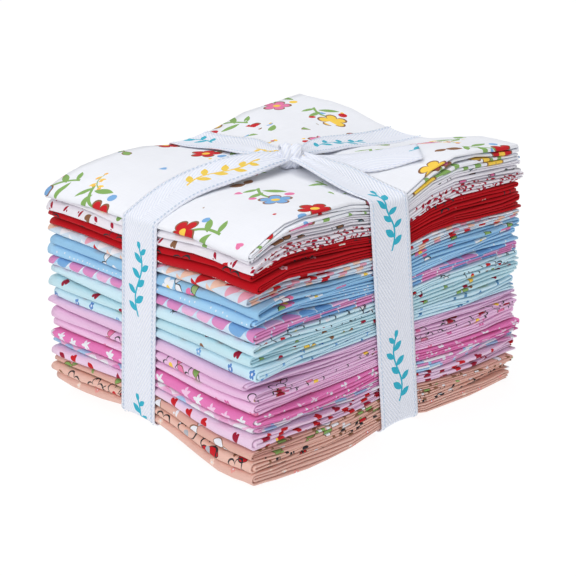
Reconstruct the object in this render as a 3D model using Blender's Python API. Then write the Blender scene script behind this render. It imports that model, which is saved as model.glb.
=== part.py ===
"""Bundle of twenty-one folded fat quarters of printed cotton, tied both ways with woven tape.

Every fat quarter is a 457 x 533 mm piece of quilting cotton, folded in four along its short
side and then in four along its long side, so sixteen plies lie on each other. Its solid is one
back-and-forth section of four layers, each layer standing for four plies, carried along Y
through the shape that the tie gives to the whole stack. The tape is one solid: two loops that
cross under the stack, run up its four faces and meet in a knot on top, with one free end.

Metres, +Z up. X runs along the 533 mm side, with the closed folds at -X. The origin is in the
middle of the stack, on the surface that it stands on.
"""

import math

import bmesh
import bpy
from mathutils import Vector

# Driving sizes of one folded piece and of its layers
WIDTH = 0.133
DEPTH = 0.114
LAYER = 0.00080
LAYER_GAP = 0.00024
PIECE_GAP = 0.00034
FOLD_FLATTENING = 0.8
FREE_EDGE_INSETS = (0.0024, 0.0012)
SPINE_STEPS = 4
OPEN_FOLD_STEPS = 3
INNER_FOLD_STEPS = 2

# Height of the stack at its four top corners
TOP_NEAR = 0.0925
TOP_LEFT = 0.0880
TOP_RIGHT = 0.0955
TOP_BACK = 0.0945
WAVE_HEIGHT = 0.00035
WAVES_UP_THE_STACK = 6.0
WAVE_LENGTH_X = 0.11
WAVE_LENGTH_Y = 0.16

# Lines across the stack on which every piece has its points
STATIONS_X = (-0.050, -0.008, 0.020, 0.050)
STATIONS_Y = (-0.041, -0.009, 0.019, 0.041)

# The tape
TAPE_WIDTH = 0.0195
TAPE_THICKNESS = 0.0008
TAPE_CLEARANCE = 0.00045
TOP_CLEARANCE = 0.00065
TAPE_REST = 0.00002
CORNER_EASE = 0.0001
CORNER_RUN = 0.002
CORNER_DROP = 0.003
GROOVE_DEPTH = 0.00125
GROOVE_HALF = 0.0106
GROOVE_SLOPE = 0.0034
BOTTOM_BAND_Y = 0.005
BOTTOM_BAND_X = 0.006
KNOT_X = -0.0045
KNOT_Y = -0.0115
KNOT_RISE = 0.0050
KNOT_RADII = (0.0062, 0.0060, 0.0038)
KNOT_WRAP_OFFSETS = (-0.0024, 0.0026)
KNOT_WRAP_NARROWING = 0.36
KNOT_WRAP_SWELL = 1.12
LOOP_B_SLIMMING = 0.00005
SHARPEST_MITRE = 0.6

# Places where the tie draws the stack in, or lets it swell, on top and underneath
# columns: x, y, rise, reach along x, reach along y
TOP_FORM = (
    (-0.0665, 0.002, -0.0015, 0.030, 0.034),
    (0.0665, -0.003, -0.0065, 0.050, 0.040),
    (0.004, -0.0570, -0.0050, 0.026, 0.038),
    (0.004, 0.0570, -0.0048, 0.032, 0.042),
    (0.036, -0.0570, 0.0036, 0.034, 0.046),
    (-0.042, -0.0570, 0.0012, 0.026, 0.040),
    (-0.0665, 0.0570, -0.0006, 0.034, 0.030),
    (-0.0665, -0.0570, -0.0020, 0.026, 0.024),
)
BOTTOM_FORM = (
    (-0.0665, 0.005, 0.0074, 0.048, 0.046),
    (-0.0665, 0.0570, 0.0052, 0.048, 0.046),
    (0.006, -0.0570, 0.0042, 0.038, 0.0158),
    (0.0665, 0.005, 0.0027, 0.0160, 0.030),
    (0.006, 0.0570, 0.0027, 0.032, 0.0158),
    (0.0665, -0.0570, 0.0020, 0.0160, 0.0158),
    (0.0665, 0.0570, 0.0020, 0.0160, 0.0158),
    (-0.0665, -0.0570, 0.0012, 0.0160, 0.0158),
)
EDGE_ROLL_DROP = 0.0045
EDGE_ROLL_REACH = 0.022
FORM_POWER = 3.0

# Stretch of each face over which the tape holds the pieces' edges flush
HOLD_CENTRE = 0.0055
HOLD_HALF = 0.0145
HOLD_FADE = 0.030

# The pieces from the top down
# columns: name, share of the height, shift along x, shift along y, turn in degrees, colour
PIECES = (
    ("quarter_01_white_posy", 1.12, -0.0008, -0.0006, 0.3, (0.90, 0.90, 0.93)),
    ("quarter_02_white_line", 0.88, 0.0010, 0.0004, -0.5, (0.86, 0.86, 0.88)),
    ("quarter_03_white_red_dash", 1.00, 0.0004, -0.0008, 0.4, (0.84, 0.78, 0.80)),
    ("quarter_04_red_cream", 0.98, 0.0012, -0.0002, -0.3, (0.62, 0.01, 0.03)),
    ("quarter_05_red_floret", 1.04, 0.0012, -0.0010, 0.5, (0.60, 0.01, 0.03)),
    ("quarter_06_peach_bunting", 1.02, 0.0006, 0.0006, -0.4, (0.80, 0.45, 0.40)),
    ("quarter_07_blue_leaf", 1.06, 0.0000, -0.0012, 0.6, (0.25, 0.47, 0.76)),
    ("quarter_08_blue_dot", 0.94, 0.0008, 0.0008, -0.2, (0.27, 0.50, 0.78)),
    ("quarter_09_blue_scallop", 0.92, -0.0004, -0.0004, 0.2, (0.60, 0.70, 0.86)),
    ("quarter_10_aqua_sprig", 1.04, 0.0004, -0.0010, -0.5, (0.50, 0.78, 0.88)),
    ("quarter_11_aqua_berry", 1.04, -0.0002, 0.0004, 0.4, (0.50, 0.78, 0.88)),
    ("quarter_12_aqua_floret", 1.10, 0.0010, -0.0006, 0.1, (0.52, 0.80, 0.90)),
    ("quarter_13_pink_plain", 0.90, -0.0006, 0.0012, -0.6, (0.88, 0.55, 0.76)),
    ("quarter_14_pink_leaf", 1.04, 0.0000, -0.0008, 0.3, (0.90, 0.60, 0.78)),
    ("quarter_15_pink_dot", 0.88, 0.0012, 0.0002, -0.3, (0.90, 0.58, 0.77)),
    ("quarter_16_hot_pink", 1.08, -0.0008, -0.0012, 0.5, (0.86, 0.22, 0.52)),
    ("quarter_17_pastel_scallop", 0.86, 0.0002, 0.0006, -0.2, (0.70, 0.66, 0.86)),
    ("quarter_18_lilac_bow", 1.04, -0.0010, -0.0004, 0.4, (0.86, 0.64, 0.82)),
    ("quarter_19_peach_stem", 1.02, -0.0004, -0.0010, -0.5, (0.88, 0.52, 0.38)),
    ("quarter_20_peach_line", 1.04, -0.0012, 0.0004, 0.3, (0.90, 0.55, 0.42)),
    ("quarter_21_peach_floret", 1.10, 0.0000, -0.0006, -0.2, (0.89, 0.53, 0.40)),
)

# Course of the two loops over the top of the stack
# columns: distance along the loop's axis, sideways place, half width, rise over the cloth
LOOP_A_TOP = (
    (-0.0665, -0.0005, 0.00975, 0.0000),
    (-0.0500, -0.0010, 0.00975, 0.0003),
    (-0.0300, -0.0040, 0.0078, 0.0016),
    (-0.0160, -0.0090, 0.0052, 0.0028),
    (-0.0045, -0.0115, 0.0040, 0.0036),
    (0.0080, -0.0080, 0.0052, 0.0028),
    (0.0200, -0.0035, 0.0074, 0.0016),
    (0.0380, -0.0015, 0.00975, 0.0005),
    (0.0500, -0.0010, 0.00975, 0.0003),
    (0.0665, -0.0010, 0.00975, 0.0000),
)
LOOP_B_TOP = (
    (-0.0570, 0.0017, 0.00975, 0.0000),
    (-0.0410, 0.0005, 0.00975, 0.0005),
    (-0.0280, -0.0015, 0.0074, 0.0020),
    (-0.0200, -0.0035, 0.0052, 0.0028),
    (-0.0115, -0.0045, 0.0040, 0.0036),
    (0.0000, -0.0032, 0.0052, 0.0028),
    (0.0130, -0.0010, 0.0074, 0.0018),
    (0.0250, 0.0010, 0.00975, 0.0006),
    (0.0410, 0.0030, 0.00975, 0.0003),
    (0.0570, 0.0040, 0.00975, 0.0000),
)
# columns: distance from the knot, half width, rise over the cloth
FREE_END = (
    (0.000, 0.0036, 0.0034),
    (0.009, 0.0050, 0.0028),
    (0.019, 0.0074, 0.0022),
    (0.032, 0.0090, 0.0012),
    (0.048, 0.0096, 0.0008),
)
FREE_END_TURN = math.radians(-38.0)

LEFT, MIDDLE, RIGHT = -1, 0, 1


def clear_scene():
    for item in list(bpy.data.objects):
        bpy.data.objects.remove(item, do_unlink=True)


def make_collection(name):
    collection = bpy.data.collections.new(name)
    bpy.context.scene.collection.children.link(collection)
    return collection


def cloth_material(name, colour, roughness):
    material = bpy.data.materials.new(name)
    material.use_nodes = True
    shader = material.node_tree.nodes["Principled BSDF"]
    shader.inputs["Base Color"].default_value = (*colour, 1.0)
    shader.inputs["Roughness"].default_value = roughness
    shader.inputs["Metallic"].default_value = 0.0
    return material


def local_rise(x, y, forms):
    """Sum of the smooth rises at x, y; each one ends at its reach."""
    total = 0.0
    for centre_x, centre_y, rise, reach_x, reach_y in forms:
        away = ((x - centre_x) / reach_x) ** 2 + ((y - centre_y) / reach_y) ** 2
        if away < 1.0:
            total += rise * (1.0 - away) ** 2
    return total


def stack_height(x, y, share):
    """Height of the stack's surface number share, from 0 underneath to 1 on top."""
    across = x / WIDTH + 0.5
    along = y / DEPTH + 0.5
    front = TOP_NEAR + (TOP_RIGHT - TOP_NEAR) * across
    back = TOP_LEFT + (TOP_BACK - TOP_LEFT) * across
    top = front + (back - front) * along
    from_fold = x + WIDTH / 2
    roll = max(0.0, 1.0 - from_fold / EDGE_ROLL_REACH) ** 2 * EDGE_ROLL_DROP
    top_form = local_rise(x, y, TOP_FORM) - roll
    bottom_form = local_rise(x, y, BOTTOM_FORM)
    waves = WAVES_UP_THE_STACK * share + x / WAVE_LENGTH_X + y / WAVE_LENGTH_Y
    turn = 2.0 * math.pi * waves
    wave = WAVE_HEIGHT * math.sin(turn) * math.sin(math.pi * share) ** 0.5
    return (
        bottom_form * (1.0 - share) ** FORM_POWER
        + top * share
        + top_form * share ** FORM_POWER
        + wave
    )


def cell_of(value, lines):
    """Index of the grid cell that holds the value, and the value's place in it."""
    index = 0
    while index < len(lines) - 2 and value > lines[index + 1]:
        index += 1
    return index, (value - lines[index]) / (lines[index + 1] - lines[index])


GRID_X = (-WIDTH / 2, *STATIONS_X, WIDTH / 2)
GRID_Y = (-DEPTH / 2, *STATIONS_Y, DEPTH / 2)


def faceted_height(x, y, share):
    """Height read from flat facets between the stations, so that neighbours stay parallel."""
    column, across = cell_of(x, GRID_X)
    row, along = cell_of(y, GRID_Y)
    low_low = stack_height(GRID_X[column], GRID_Y[row], share)
    high_high = stack_height(GRID_X[column + 1], GRID_Y[row + 1], share)
    if across >= along:
        high_low = stack_height(GRID_X[column + 1], GRID_Y[row], share)
        return low_low + across * (high_low - low_low) + along * (high_high - high_low)
    low_high = stack_height(GRID_X[column], GRID_Y[row + 1], share)
    return low_low + along * (low_high - low_low) + across * (high_high - low_high)


def hold(value):
    """How firmly the tape holds the edges flush: 1 under it, 0 at the corners."""
    past_tape = abs(value - HOLD_CENTRE) - HOLD_HALF
    return min(1.0, max(0.0, 1.0 - past_tape / HOLD_FADE))


def groove(x, y):
    """Depth that the two tapes under the stack press into the lowest piece."""
    nearest = min(abs(x - BOTTOM_BAND_X), abs(y - BOTTOM_BAND_Y))
    ramp = (GROOVE_HALF + GROOVE_SLOPE - nearest) / GROOVE_SLOPE
    return GROOVE_DEPTH * min(1.0, max(0.0, ramp))


def with_groove_lines(stations, band):
    return tuple(sorted((*stations, band - GROOVE_HALF, band + GROOVE_HALF)))


def run_left(height, right_inset, left_inset, stations):
    middle = [(MIDDLE, x, height) for x in reversed(stations)]
    return [(RIGHT, right_inset, height), *middle, (LEFT, left_inset, height)]


def run_right(height, left_inset, right_inset, stations):
    return list(reversed(run_left(height, right_inset, left_inset, stations)))


def bend(side, centre_inset, centre_height, radius, start, end, steps):
    """Points of a fold between two runs, without the runs' own end points."""
    points = []
    for step in range(1, steps):
        angle = math.radians(start + (end - start) * step / steps)
        inset = centre_inset - side * FOLD_FLATTENING * radius * math.cos(angle)
        points.append((side, inset, centre_height + radius * math.sin(angle)))
    return points


def fold_sides(stations):
    """Both sides of four layers folded in half, and in half again, point by point."""
    thickness = 4 * LAYER + 3 * LAYER_GAP
    middle = thickness / 2
    half_gap = LAYER_GAP / 2
    pair = LAYER + half_gap
    spine = FOLD_FLATTENING * middle
    turn = FOLD_FLATTENING * pair
    upper = thickness - pair
    third_inset, fourth_inset = FREE_EDGE_INSETS
    outer = run_left(0.0, fourth_inset, spine, stations)
    outer += bend(LEFT, spine, middle, middle, 270, 90, SPINE_STEPS)
    outer += run_right(thickness, spine, turn, stations)
    outer += bend(RIGHT, turn, upper, pair, 90, -90, OPEN_FOLD_STEPS)
    outer += run_left(middle + half_gap, turn, spine, stations)
    outer += bend(LEFT, spine, middle, half_gap, 90, 270, INNER_FOLD_STEPS)
    outer += run_right(middle - half_gap, spine, third_inset, stations)
    inner = run_left(LAYER, fourth_inset, spine, stations)
    inner += bend(LEFT, spine, middle, middle - LAYER, 270, 90, SPINE_STEPS)
    inner += run_right(thickness - LAYER, spine, turn, stations)
    inner += bend(RIGHT, turn, upper, half_gap, 90, -90, OPEN_FOLD_STEPS)
    inner += run_left(middle + pair, turn, spine, stations)
    inner += bend(LEFT, spine, middle, pair, 90, 270, INNER_FOLD_STEPS)
    inner += run_right(middle - pair, spine, third_inset, stations)
    return outer, inner


def piece_slabs():
    """Lowest and highest share of the stack for each piece, from the top down."""
    total_share = sum(row[1] for row in PIECES)
    mean_height = (TOP_NEAR + TOP_LEFT + TOP_RIGHT + TOP_BACK) / 4
    gap = PIECE_GAP / mean_height
    cloth = 1.0 - gap * (len(PIECES) - 1)
    slabs = []
    top = 1.0
    for row in PIECES:
        bottom = top - cloth * row[1] / total_share
        slabs.append((max(0.0, bottom), top))
        top = bottom - gap
    return slabs


def make_quarter(row, slab, lowest, collection):
    name, _, shift_x, shift_y, turn_degrees, colour = row
    turn = math.radians(turn_degrees)
    low, high = slab
    thickness = 4 * LAYER + 3 * LAYER_GAP
    stations_x = STATIONS_X
    stations_y = STATIONS_Y
    if lowest:
        stations_x = with_groove_lines(STATIONS_X, BOTTOM_BAND_X)
        stations_y = with_groove_lines(STATIONS_Y, BOTTOM_BAND_Y)
    outer, inner = fold_sides(stations_x)
    outline = outer + inner[::-1]
    lines_y = (-DEPTH / 2, *stations_y, DEPTH / 2)
    mesh = bmesh.new()
    rings = []
    for line, line_y in enumerate(lines_y):
        free_x = 1.0 - hold(line_y)
        slide_x = (shift_x - turn * line_y) * free_x
        ring = []
        for side, value, height in outline:
            if side == LEFT:
                x = -WIDTH / 2 + slide_x + value
            elif side == RIGHT:
                x = WIDTH / 2 + slide_x - value
            else:
                x = value
            y = line_y
            if line in (0, len(lines_y) - 1):
                y += (shift_y + turn * x) * (1.0 - hold(x))
            share = low + (high - low) * height / thickness
            z = faceted_height(x, y, share)
            if lowest:
                z += groove(x, y) * (1.0 - height / thickness)
            ring.append(mesh.verts.new((x, y, z)))
        rings.append(ring)
    count = len(outline)
    for near_ring, far_ring in zip(rings, rings[1:]):
        for index in range(count):
            other = (index + 1) % count
            near_a, near_b = near_ring[index], near_ring[other]
            far_a, far_b = far_ring[index], far_ring[other]
            if near_b.co.x >= near_a.co.x:
                mesh.faces.new((near_a, near_b, far_b))
                mesh.faces.new((near_a, far_b, far_a))
            else:
                mesh.faces.new((near_a, near_b, far_a))
                mesh.faces.new((near_b, far_b, far_a))
    for ring in (rings[0], rings[-1]):
        for index in range(len(outer) - 1):
            back = count - 1 - index
            mesh.faces.new((ring[index], ring[index + 1], ring[back - 1], ring[back]))
    bmesh.ops.recalc_face_normals(mesh, faces=mesh.faces)
    data = bpy.data.meshes.new(name)
    mesh.to_mesh(data)
    mesh.free()
    data.shade_smooth()
    data.set_sharp_from_angle(angle=math.radians(50))
    quarter = bpy.data.objects.new(name, data)
    collection.objects.link(quarter)
    quarter.data.materials.append(cloth_material(name + "_cotton", colour, 0.85))
    return quarter


def read_course(course, distance):
    """Values of a course between its rows."""
    index = 0
    while index < len(course) - 2 and distance > course[index + 1][0]:
        index += 1
    start, end = course[index], course[index + 1]
    part = (distance - start[0]) / (end[0] - start[0])
    return [first + (last - first) * part for first, last in zip(start[1:], end[1:])]


def highest_below(along, sideways, half_width, axis, share):
    """Highest or lowest cloth facet across the tape's width."""
    heights = []
    for step in range(-4, 5):
        other = sideways + half_width * step / 4
        point = (along, other) if axis == "x" else (other, along)
        heights.append(faceted_height(*point, share))
    return max(heights) if share > 0.5 else min(heights)


def loop_stations(axis, course, bottom_side):
    """Stations of one tape loop: top, side, underneath and other side."""
    half = WIDTH / 2 if axis == "x" else DEPTH / 2
    grid = GRID_X if axis == "x" else GRID_Y
    lines = list(grid[1:-1])
    halfway = [(first + second) / 2 for first, second in zip(grid, grid[1:])]
    distances = sorted({row[0] for row in course[1:-1]} | set(lines) | set(halfway))
    out = half + TAPE_CLEARANCE
    half_tape = TAPE_WIDTH / 2
    stations = []

    def corner(end, sideways, share):
        cloth = highest_below(end * half, sideways, half_tape, axis, share)
        away = 1.0 if share > 0.5 else -1.0
        clearance = TOP_CLEARANCE if share > 0.5 else TAPE_CLEARANCE
        level = cloth + away * (clearance + CORNER_EASE)
        near_corner = [
            (end * (half - CORNER_RUN), level),
            (end * (half + CORNER_EASE), level),
            (end * out, cloth + away * CORNER_EASE),
            (end * out, cloth - away * CORNER_DROP),
        ]
        return [(along, height, sideways, half_tape) for along, height in near_corner]

    top_start, top_end = course[0], course[-1]
    start_corner = corner(-1, top_start[1], 1.0)
    end_corner = corner(1, top_end[1], 1.0)
    stations += reversed(start_corner)
    for distance in distances:
        sideways, half_width, rise = read_course(course, distance)
        cloth = highest_below(distance, sideways, half_width, axis, 1.0)
        height = cloth + TOP_CLEARANCE + rise
        stations.append((distance, height, sideways, half_width))
    stations += end_corner
    stations += reversed(corner(1, bottom_side, 0.0))
    for distance in reversed(grid[1:-1]):
        cloth = highest_below(distance, bottom_side, half_tape, axis, 0.0)
        height = max(TAPE_REST, cloth) + TAPE_THICKNESS
        stations.append((distance, height, bottom_side, half_tape))
    stations += corner(-1, bottom_side, 0.0)
    return stations


def make_loop(name, axis, course, bottom_side, inner_shift):
    stations = loop_stations(axis, course, bottom_side)
    count = len(stations)
    mesh = bmesh.new()
    rings = []
    for index, (along, height, sideways, half_width) in enumerate(stations):
        before = stations[index - 1]
        after = stations[(index + 1) % count]
        into = Vector((along - before[0], height - before[1])).normalized()
        out_of = Vector((after[0] - along, after[1] - height)).normalized()
        mean = (into + out_of).normalized()
        normal = Vector((-mean.y, mean.x))
        stretch = TAPE_THICKNESS / max(SHARPEST_MITRE, normal.dot(Vector((-into.y, into.x))))
        ring = []
        for edge, layer in ((-1, 0), (1, 0), (1, 1), (-1, 1)):
            offset = stretch * layer if layer else inner_shift
            place = along + normal.x * offset
            level = height + normal.y * offset
            other = sideways + edge * (half_width - inner_shift)
            co = (place, other, level) if axis == "x" else (other, place, level)
            ring.append(mesh.verts.new(co))
        rings.append(ring)
    for index in range(count):
        ring, following = rings[index], rings[(index + 1) % count]
        for corner in range(4):
            other = (corner + 1) % 4
            mesh.faces.new((ring[corner], ring[other], following[other], following[corner]))
    bmesh.ops.recalc_face_normals(mesh, faces=mesh.faces)
    data = bpy.data.meshes.new(name)
    mesh.to_mesh(data)
    mesh.free()
    return bpy.data.objects.new(name, data)


def make_free_end():
    """Flat end of the tape, from the knot over the top piece."""
    along = Vector((math.cos(FREE_END_TURN), math.sin(FREE_END_TURN)))
    across = Vector((-along.y, along.x))
    mesh = bmesh.new()
    rings = []
    for distance, half_width, rise in FREE_END:
        centre = Vector((KNOT_X, KNOT_Y)) + along * distance
        edges = [centre + across * half_width * side for side in (-1, -0.5, 0, 0.5, 1)]
        cloth = max(faceted_height(point.x, point.y, 1.0) for point in edges)
        low = cloth + TOP_CLEARANCE + rise
        ring = []
        for edge, lift in ((-1, 0.0), (1, 0.0), (1, TAPE_THICKNESS), (-1, TAPE_THICKNESS)):
            point = centre + across * half_width * edge
            ring.append(mesh.verts.new((point.x, point.y, low + lift)))
        rings.append(ring)
    for ring, following in zip(rings, rings[1:]):
        for corner in range(4):
            other = (corner + 1) % 4
            mesh.faces.new((ring[corner], ring[other], following[other], following[corner]))
    mesh.faces.new(rings[0])
    mesh.faces.new(list(reversed(rings[-1])))
    bmesh.ops.recalc_face_normals(mesh, faces=mesh.faces)
    data = bpy.data.meshes.new("free_end")
    mesh.to_mesh(data)
    mesh.free()
    return bpy.data.objects.new("free_end", data)


def make_knot_part(name, radii, place):
    """One rounded lump of the knot."""
    mesh = bmesh.new()
    bmesh.ops.create_uvsphere(mesh, u_segments=12, v_segments=8, radius=1.0)
    bmesh.ops.scale(mesh, vec=radii, verts=mesh.verts)
    bmesh.ops.translate(mesh, vec=place, verts=mesh.verts)
    data = bpy.data.meshes.new(name)
    mesh.to_mesh(data)
    mesh.free()
    return bpy.data.objects.new(name, data)


def make_tape(collection, cutters):
    tape = make_loop("tape_tie", "x", LOOP_A_TOP, BOTTOM_BAND_Y, 0.0)
    collection.objects.link(tape)
    knot_z = faceted_height(KNOT_X, KNOT_Y, 1.0) + KNOT_RISE
    joined = [
        make_loop("loop_b", "y", LOOP_B_TOP, BOTTOM_BAND_X, LOOP_B_SLIMMING),
        make_free_end(),
        make_knot_part("knot_body", KNOT_RADII, (KNOT_X, KNOT_Y, knot_z)),
    ]
    radius_x, radius_y, radius_z = KNOT_RADII
    wrap_radii = (
        radius_x * KNOT_WRAP_NARROWING,
        radius_y * KNOT_WRAP_SWELL,
        radius_z * KNOT_WRAP_SWELL,
    )
    for number, offset in enumerate(KNOT_WRAP_OFFSETS):
        place = (KNOT_X + offset, KNOT_Y, knot_z)
        joined.append(make_knot_part(f"knot_wrap_{number}", wrap_radii, place))
    for part in joined:
        cutters.objects.link(part)
        part.hide_render = True
        part.display_type = "WIRE"
        union = tape.modifiers.new("join_" + part.name, "BOOLEAN")
        union.operation = "UNION"
        union.object = part
    tape.data.materials.append(cloth_material("tape_cotton", (0.82, 0.87, 0.93), 0.8))
    return tape


def main():
    clear_scene()
    collection = make_collection("fat_quarter_bundle")
    cutters = make_collection("joined_shapes")
    slabs = piece_slabs()
    for number, (row, slab) in enumerate(zip(PIECES, slabs)):
        make_quarter(row, slab, number == len(PIECES) - 1, collection)
    make_tape(collection, cutters)


main()
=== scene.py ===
"""Bundle of twenty-one folded fat quarters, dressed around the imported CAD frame.

Each fat quarter is one sheet of cotton folded in four and in four again, so sixteen plies lie on
each other and the print runs round every fold. The tape is woven in herringbone and knotted on
top. Metres, +Z up, closed folds at -X.
"""

import math

import bmesh
import bpy
import numpy as np
from mathutils import Matrix, Vector


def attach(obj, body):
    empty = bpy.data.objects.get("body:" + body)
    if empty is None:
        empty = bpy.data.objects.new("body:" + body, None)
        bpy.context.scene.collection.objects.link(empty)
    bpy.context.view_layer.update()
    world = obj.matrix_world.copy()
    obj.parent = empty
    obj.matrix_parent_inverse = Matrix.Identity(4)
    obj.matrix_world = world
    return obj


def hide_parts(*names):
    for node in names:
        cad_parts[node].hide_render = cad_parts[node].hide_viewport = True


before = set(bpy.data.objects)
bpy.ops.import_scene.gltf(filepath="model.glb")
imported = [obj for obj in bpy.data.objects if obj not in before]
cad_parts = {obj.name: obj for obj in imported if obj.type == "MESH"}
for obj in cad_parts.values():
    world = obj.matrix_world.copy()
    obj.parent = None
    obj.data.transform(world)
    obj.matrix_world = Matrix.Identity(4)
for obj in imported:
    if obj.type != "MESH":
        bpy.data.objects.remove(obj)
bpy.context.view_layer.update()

# Camera
# It stands before the near corner of the bundle, a little above it, as a product photographer's
# camera with a long lens does.
CAMERA_LENS = 111.9
CAMERA_ELEVATION = math.radians(21.1)
CAMERA_AZIMUTH = math.radians(-42.8)
CAMERA_ROLL = math.radians(-0.53)
CAMERA_DISTANCE = 0.680
CAMERA_TARGET = Vector((0.0, 0.0, 0.045))
CAMERA_ASIDE = 0.00285
CAMERA_DOWN = -0.0037


def place_object(name, data):
    placed = bpy.data.objects.new(name, data)
    bpy.context.scene.collection.objects.link(placed)
    return placed


def place_camera():
    level = math.cos(CAMERA_ELEVATION)
    towards = Vector((
        math.sin(CAMERA_AZIMUTH) * level,
        -math.cos(CAMERA_AZIMUTH) * level,
        math.sin(CAMERA_ELEVATION),
    ))
    right = Vector((math.cos(CAMERA_AZIMUTH), math.sin(CAMERA_AZIMUTH), 0.0))
    up = towards.cross(right)
    rolled_right = right * math.cos(CAMERA_ROLL) + up * math.sin(CAMERA_ROLL)
    rolled_up = up * math.cos(CAMERA_ROLL) - right * math.sin(CAMERA_ROLL)
    data = bpy.data.cameras.new("camera")
    data.lens = CAMERA_LENS
    data.sensor_width = 36.0
    data.clip_start = 0.01
    camera = place_object("camera", data)
    pose = Matrix((rolled_right, rolled_up, towards)).transposed().to_4x4()
    place = CAMERA_TARGET + towards * CAMERA_DISTANCE
    pose.translation = place + right * CAMERA_ASIDE + up * CAMERA_DOWN
    camera.matrix_world = pose
    bpy.context.scene.camera = camera


place_camera()

# Floor and light
# A white table lit from below, and large soft lights: the main one above, one from the left above
# the closed folds, a faint one from the right, and a dim white surround.
FLOOR_SIZE = 6.0
FLOOR_WHITE = (0.15, 0.15, 0.152, 1.0)
SURROUND = (1.0, 1.0, 1.0, 1.0)
SURROUND_STRENGTH = 0.37
FLOOR_GLOW = 0.88


def make_floor():
    data = bpy.data.meshes.new("floor")
    half = FLOOR_SIZE / 2
    corners = ((-half, -half, 0), (half, -half, 0), (half, half, 0), (-half, half, 0))
    data.from_pydata(corners, [], [(0, 1, 2, 3)])
    floor = place_object("floor", data)
    paint = bpy.data.materials.new("white_table")
    paint.use_nodes = True
    shader = paint.node_tree.nodes["Principled BSDF"]
    shader.inputs["Base Color"].default_value = FLOOR_WHITE
    shader.inputs["Roughness"].default_value = 0.7
    shader.inputs["Specular IOR Level"].default_value = 0.2
    shader.inputs["Emission Color"].default_value = SURROUND
    shader.inputs["Emission Strength"].default_value = FLOOR_GLOW
    data.materials.append(paint)


def add_light(name, place, size, watts, colour):
    data = bpy.data.lights.new(name, "AREA")
    data.shape = "SQUARE"
    data.size = size
    data.energy = watts
    data.color = colour
    light = place_object(name, data)
    light.location = place
    towards_stack = CAMERA_TARGET - Vector(place)
    light.rotation_euler = towards_stack.to_track_quat("-Z", "Y").to_euler()


make_floor()
add_light("left_softbox", (-0.95, -0.30, 0.95), 0.9, 7.9, (1.0, 0.99, 0.98))
add_light("right_softbox", (0.25, -1.15, 0.55), 0.9, 1.0, (0.94, 0.96, 1.0))
add_light("top_softbox", (0.15, 0.35, 1.35), 1.1, 8.5, (0.99, 0.995, 1.0))
world = bpy.data.worlds.new("white_surround")
world.use_nodes = True
world.node_tree.nodes["Background"].inputs["Color"].default_value = SURROUND
world.node_tree.nodes["Background"].inputs["Strength"].default_value = SURROUND_STRENGTH
bpy.context.scene.world = world
bpy.context.scene.view_settings.view_transform = "Standard"

# Shape of the tied stack
# The tie draws the soft stack in where the tapes cross its edges, and the cloth swells between
# them. Every piece and the tape read their heights from this one shape.
WIDTH = 0.133
DEPTH = 0.114
TOP_NEAR = 0.0925
TOP_LEFT = 0.0880
TOP_RIGHT = 0.0955
TOP_BACK = 0.0945
WAVE_HEIGHT = 0.00035
WAVES_UP_THE_STACK = 6.0
WAVE_LENGTH_X = 0.11
WAVE_LENGTH_Y = 0.16
FINE_WAVE_HEIGHT = 0.00026
FINE_WAVES_UP_THE_STACK = 13.0
EDGE_ROLL_DROP = 0.0045
EDGE_ROLL_REACH = 0.022
FORM_POWER = 3.0
HOLD_CENTRE = 0.0055
HOLD_HALF = 0.0145
HOLD_FADE = 0.030
BOTTOM_BAND_Y = 0.005
BOTTOM_BAND_X = 0.006
GROOVE_DEPTH = 0.00125
GROOVE_HALF = 0.0106
GROOVE_SLOPE = 0.0034
# columns: x, y, rise, reach along x, reach along y
TOP_FORM = (
    (-0.0665, 0.002, -0.0015, 0.030, 0.034),
    (0.0665, -0.003, -0.0065, 0.050, 0.040),
    (0.004, -0.0570, -0.0050, 0.026, 0.038),
    (0.004, 0.0570, -0.0048, 0.032, 0.042),
    (0.036, -0.0570, 0.0036, 0.034, 0.046),
    (-0.042, -0.0570, 0.0012, 0.026, 0.040),
    (-0.0665, 0.0570, -0.0006, 0.034, 0.030),
    (-0.0665, -0.0570, -0.0020, 0.026, 0.024),
)
BOTTOM_FORM = (
    (-0.0665, 0.005, 0.0074, 0.048, 0.046),
    (-0.0665, 0.0570, 0.0052, 0.048, 0.046),
    (0.006, -0.0570, 0.0030, 0.020, 0.0158),
    (0.046, -0.0570, 0.0013, 0.040, 0.0300),
    (0.0665, 0.005, 0.0027, 0.0160, 0.030),
    (0.006, 0.0570, 0.0027, 0.032, 0.0158),
    (0.0665, -0.0570, 0.0008, 0.0160, 0.0158),
    (0.0665, 0.0570, 0.0020, 0.0160, 0.0158),
    (-0.0665, -0.0570, 0.0012, 0.0160, 0.0158),
)


def local_rise(x, y, forms):
    total = 0.0 * x
    for centre_x, centre_y, rise, reach_x, reach_y in forms:
        away = ((x - centre_x) / reach_x) ** 2 + ((y - centre_y) / reach_y) ** 2
        total = total + rise * np.clip(1.0 - away, 0.0, None) ** 2
    return total


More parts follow.
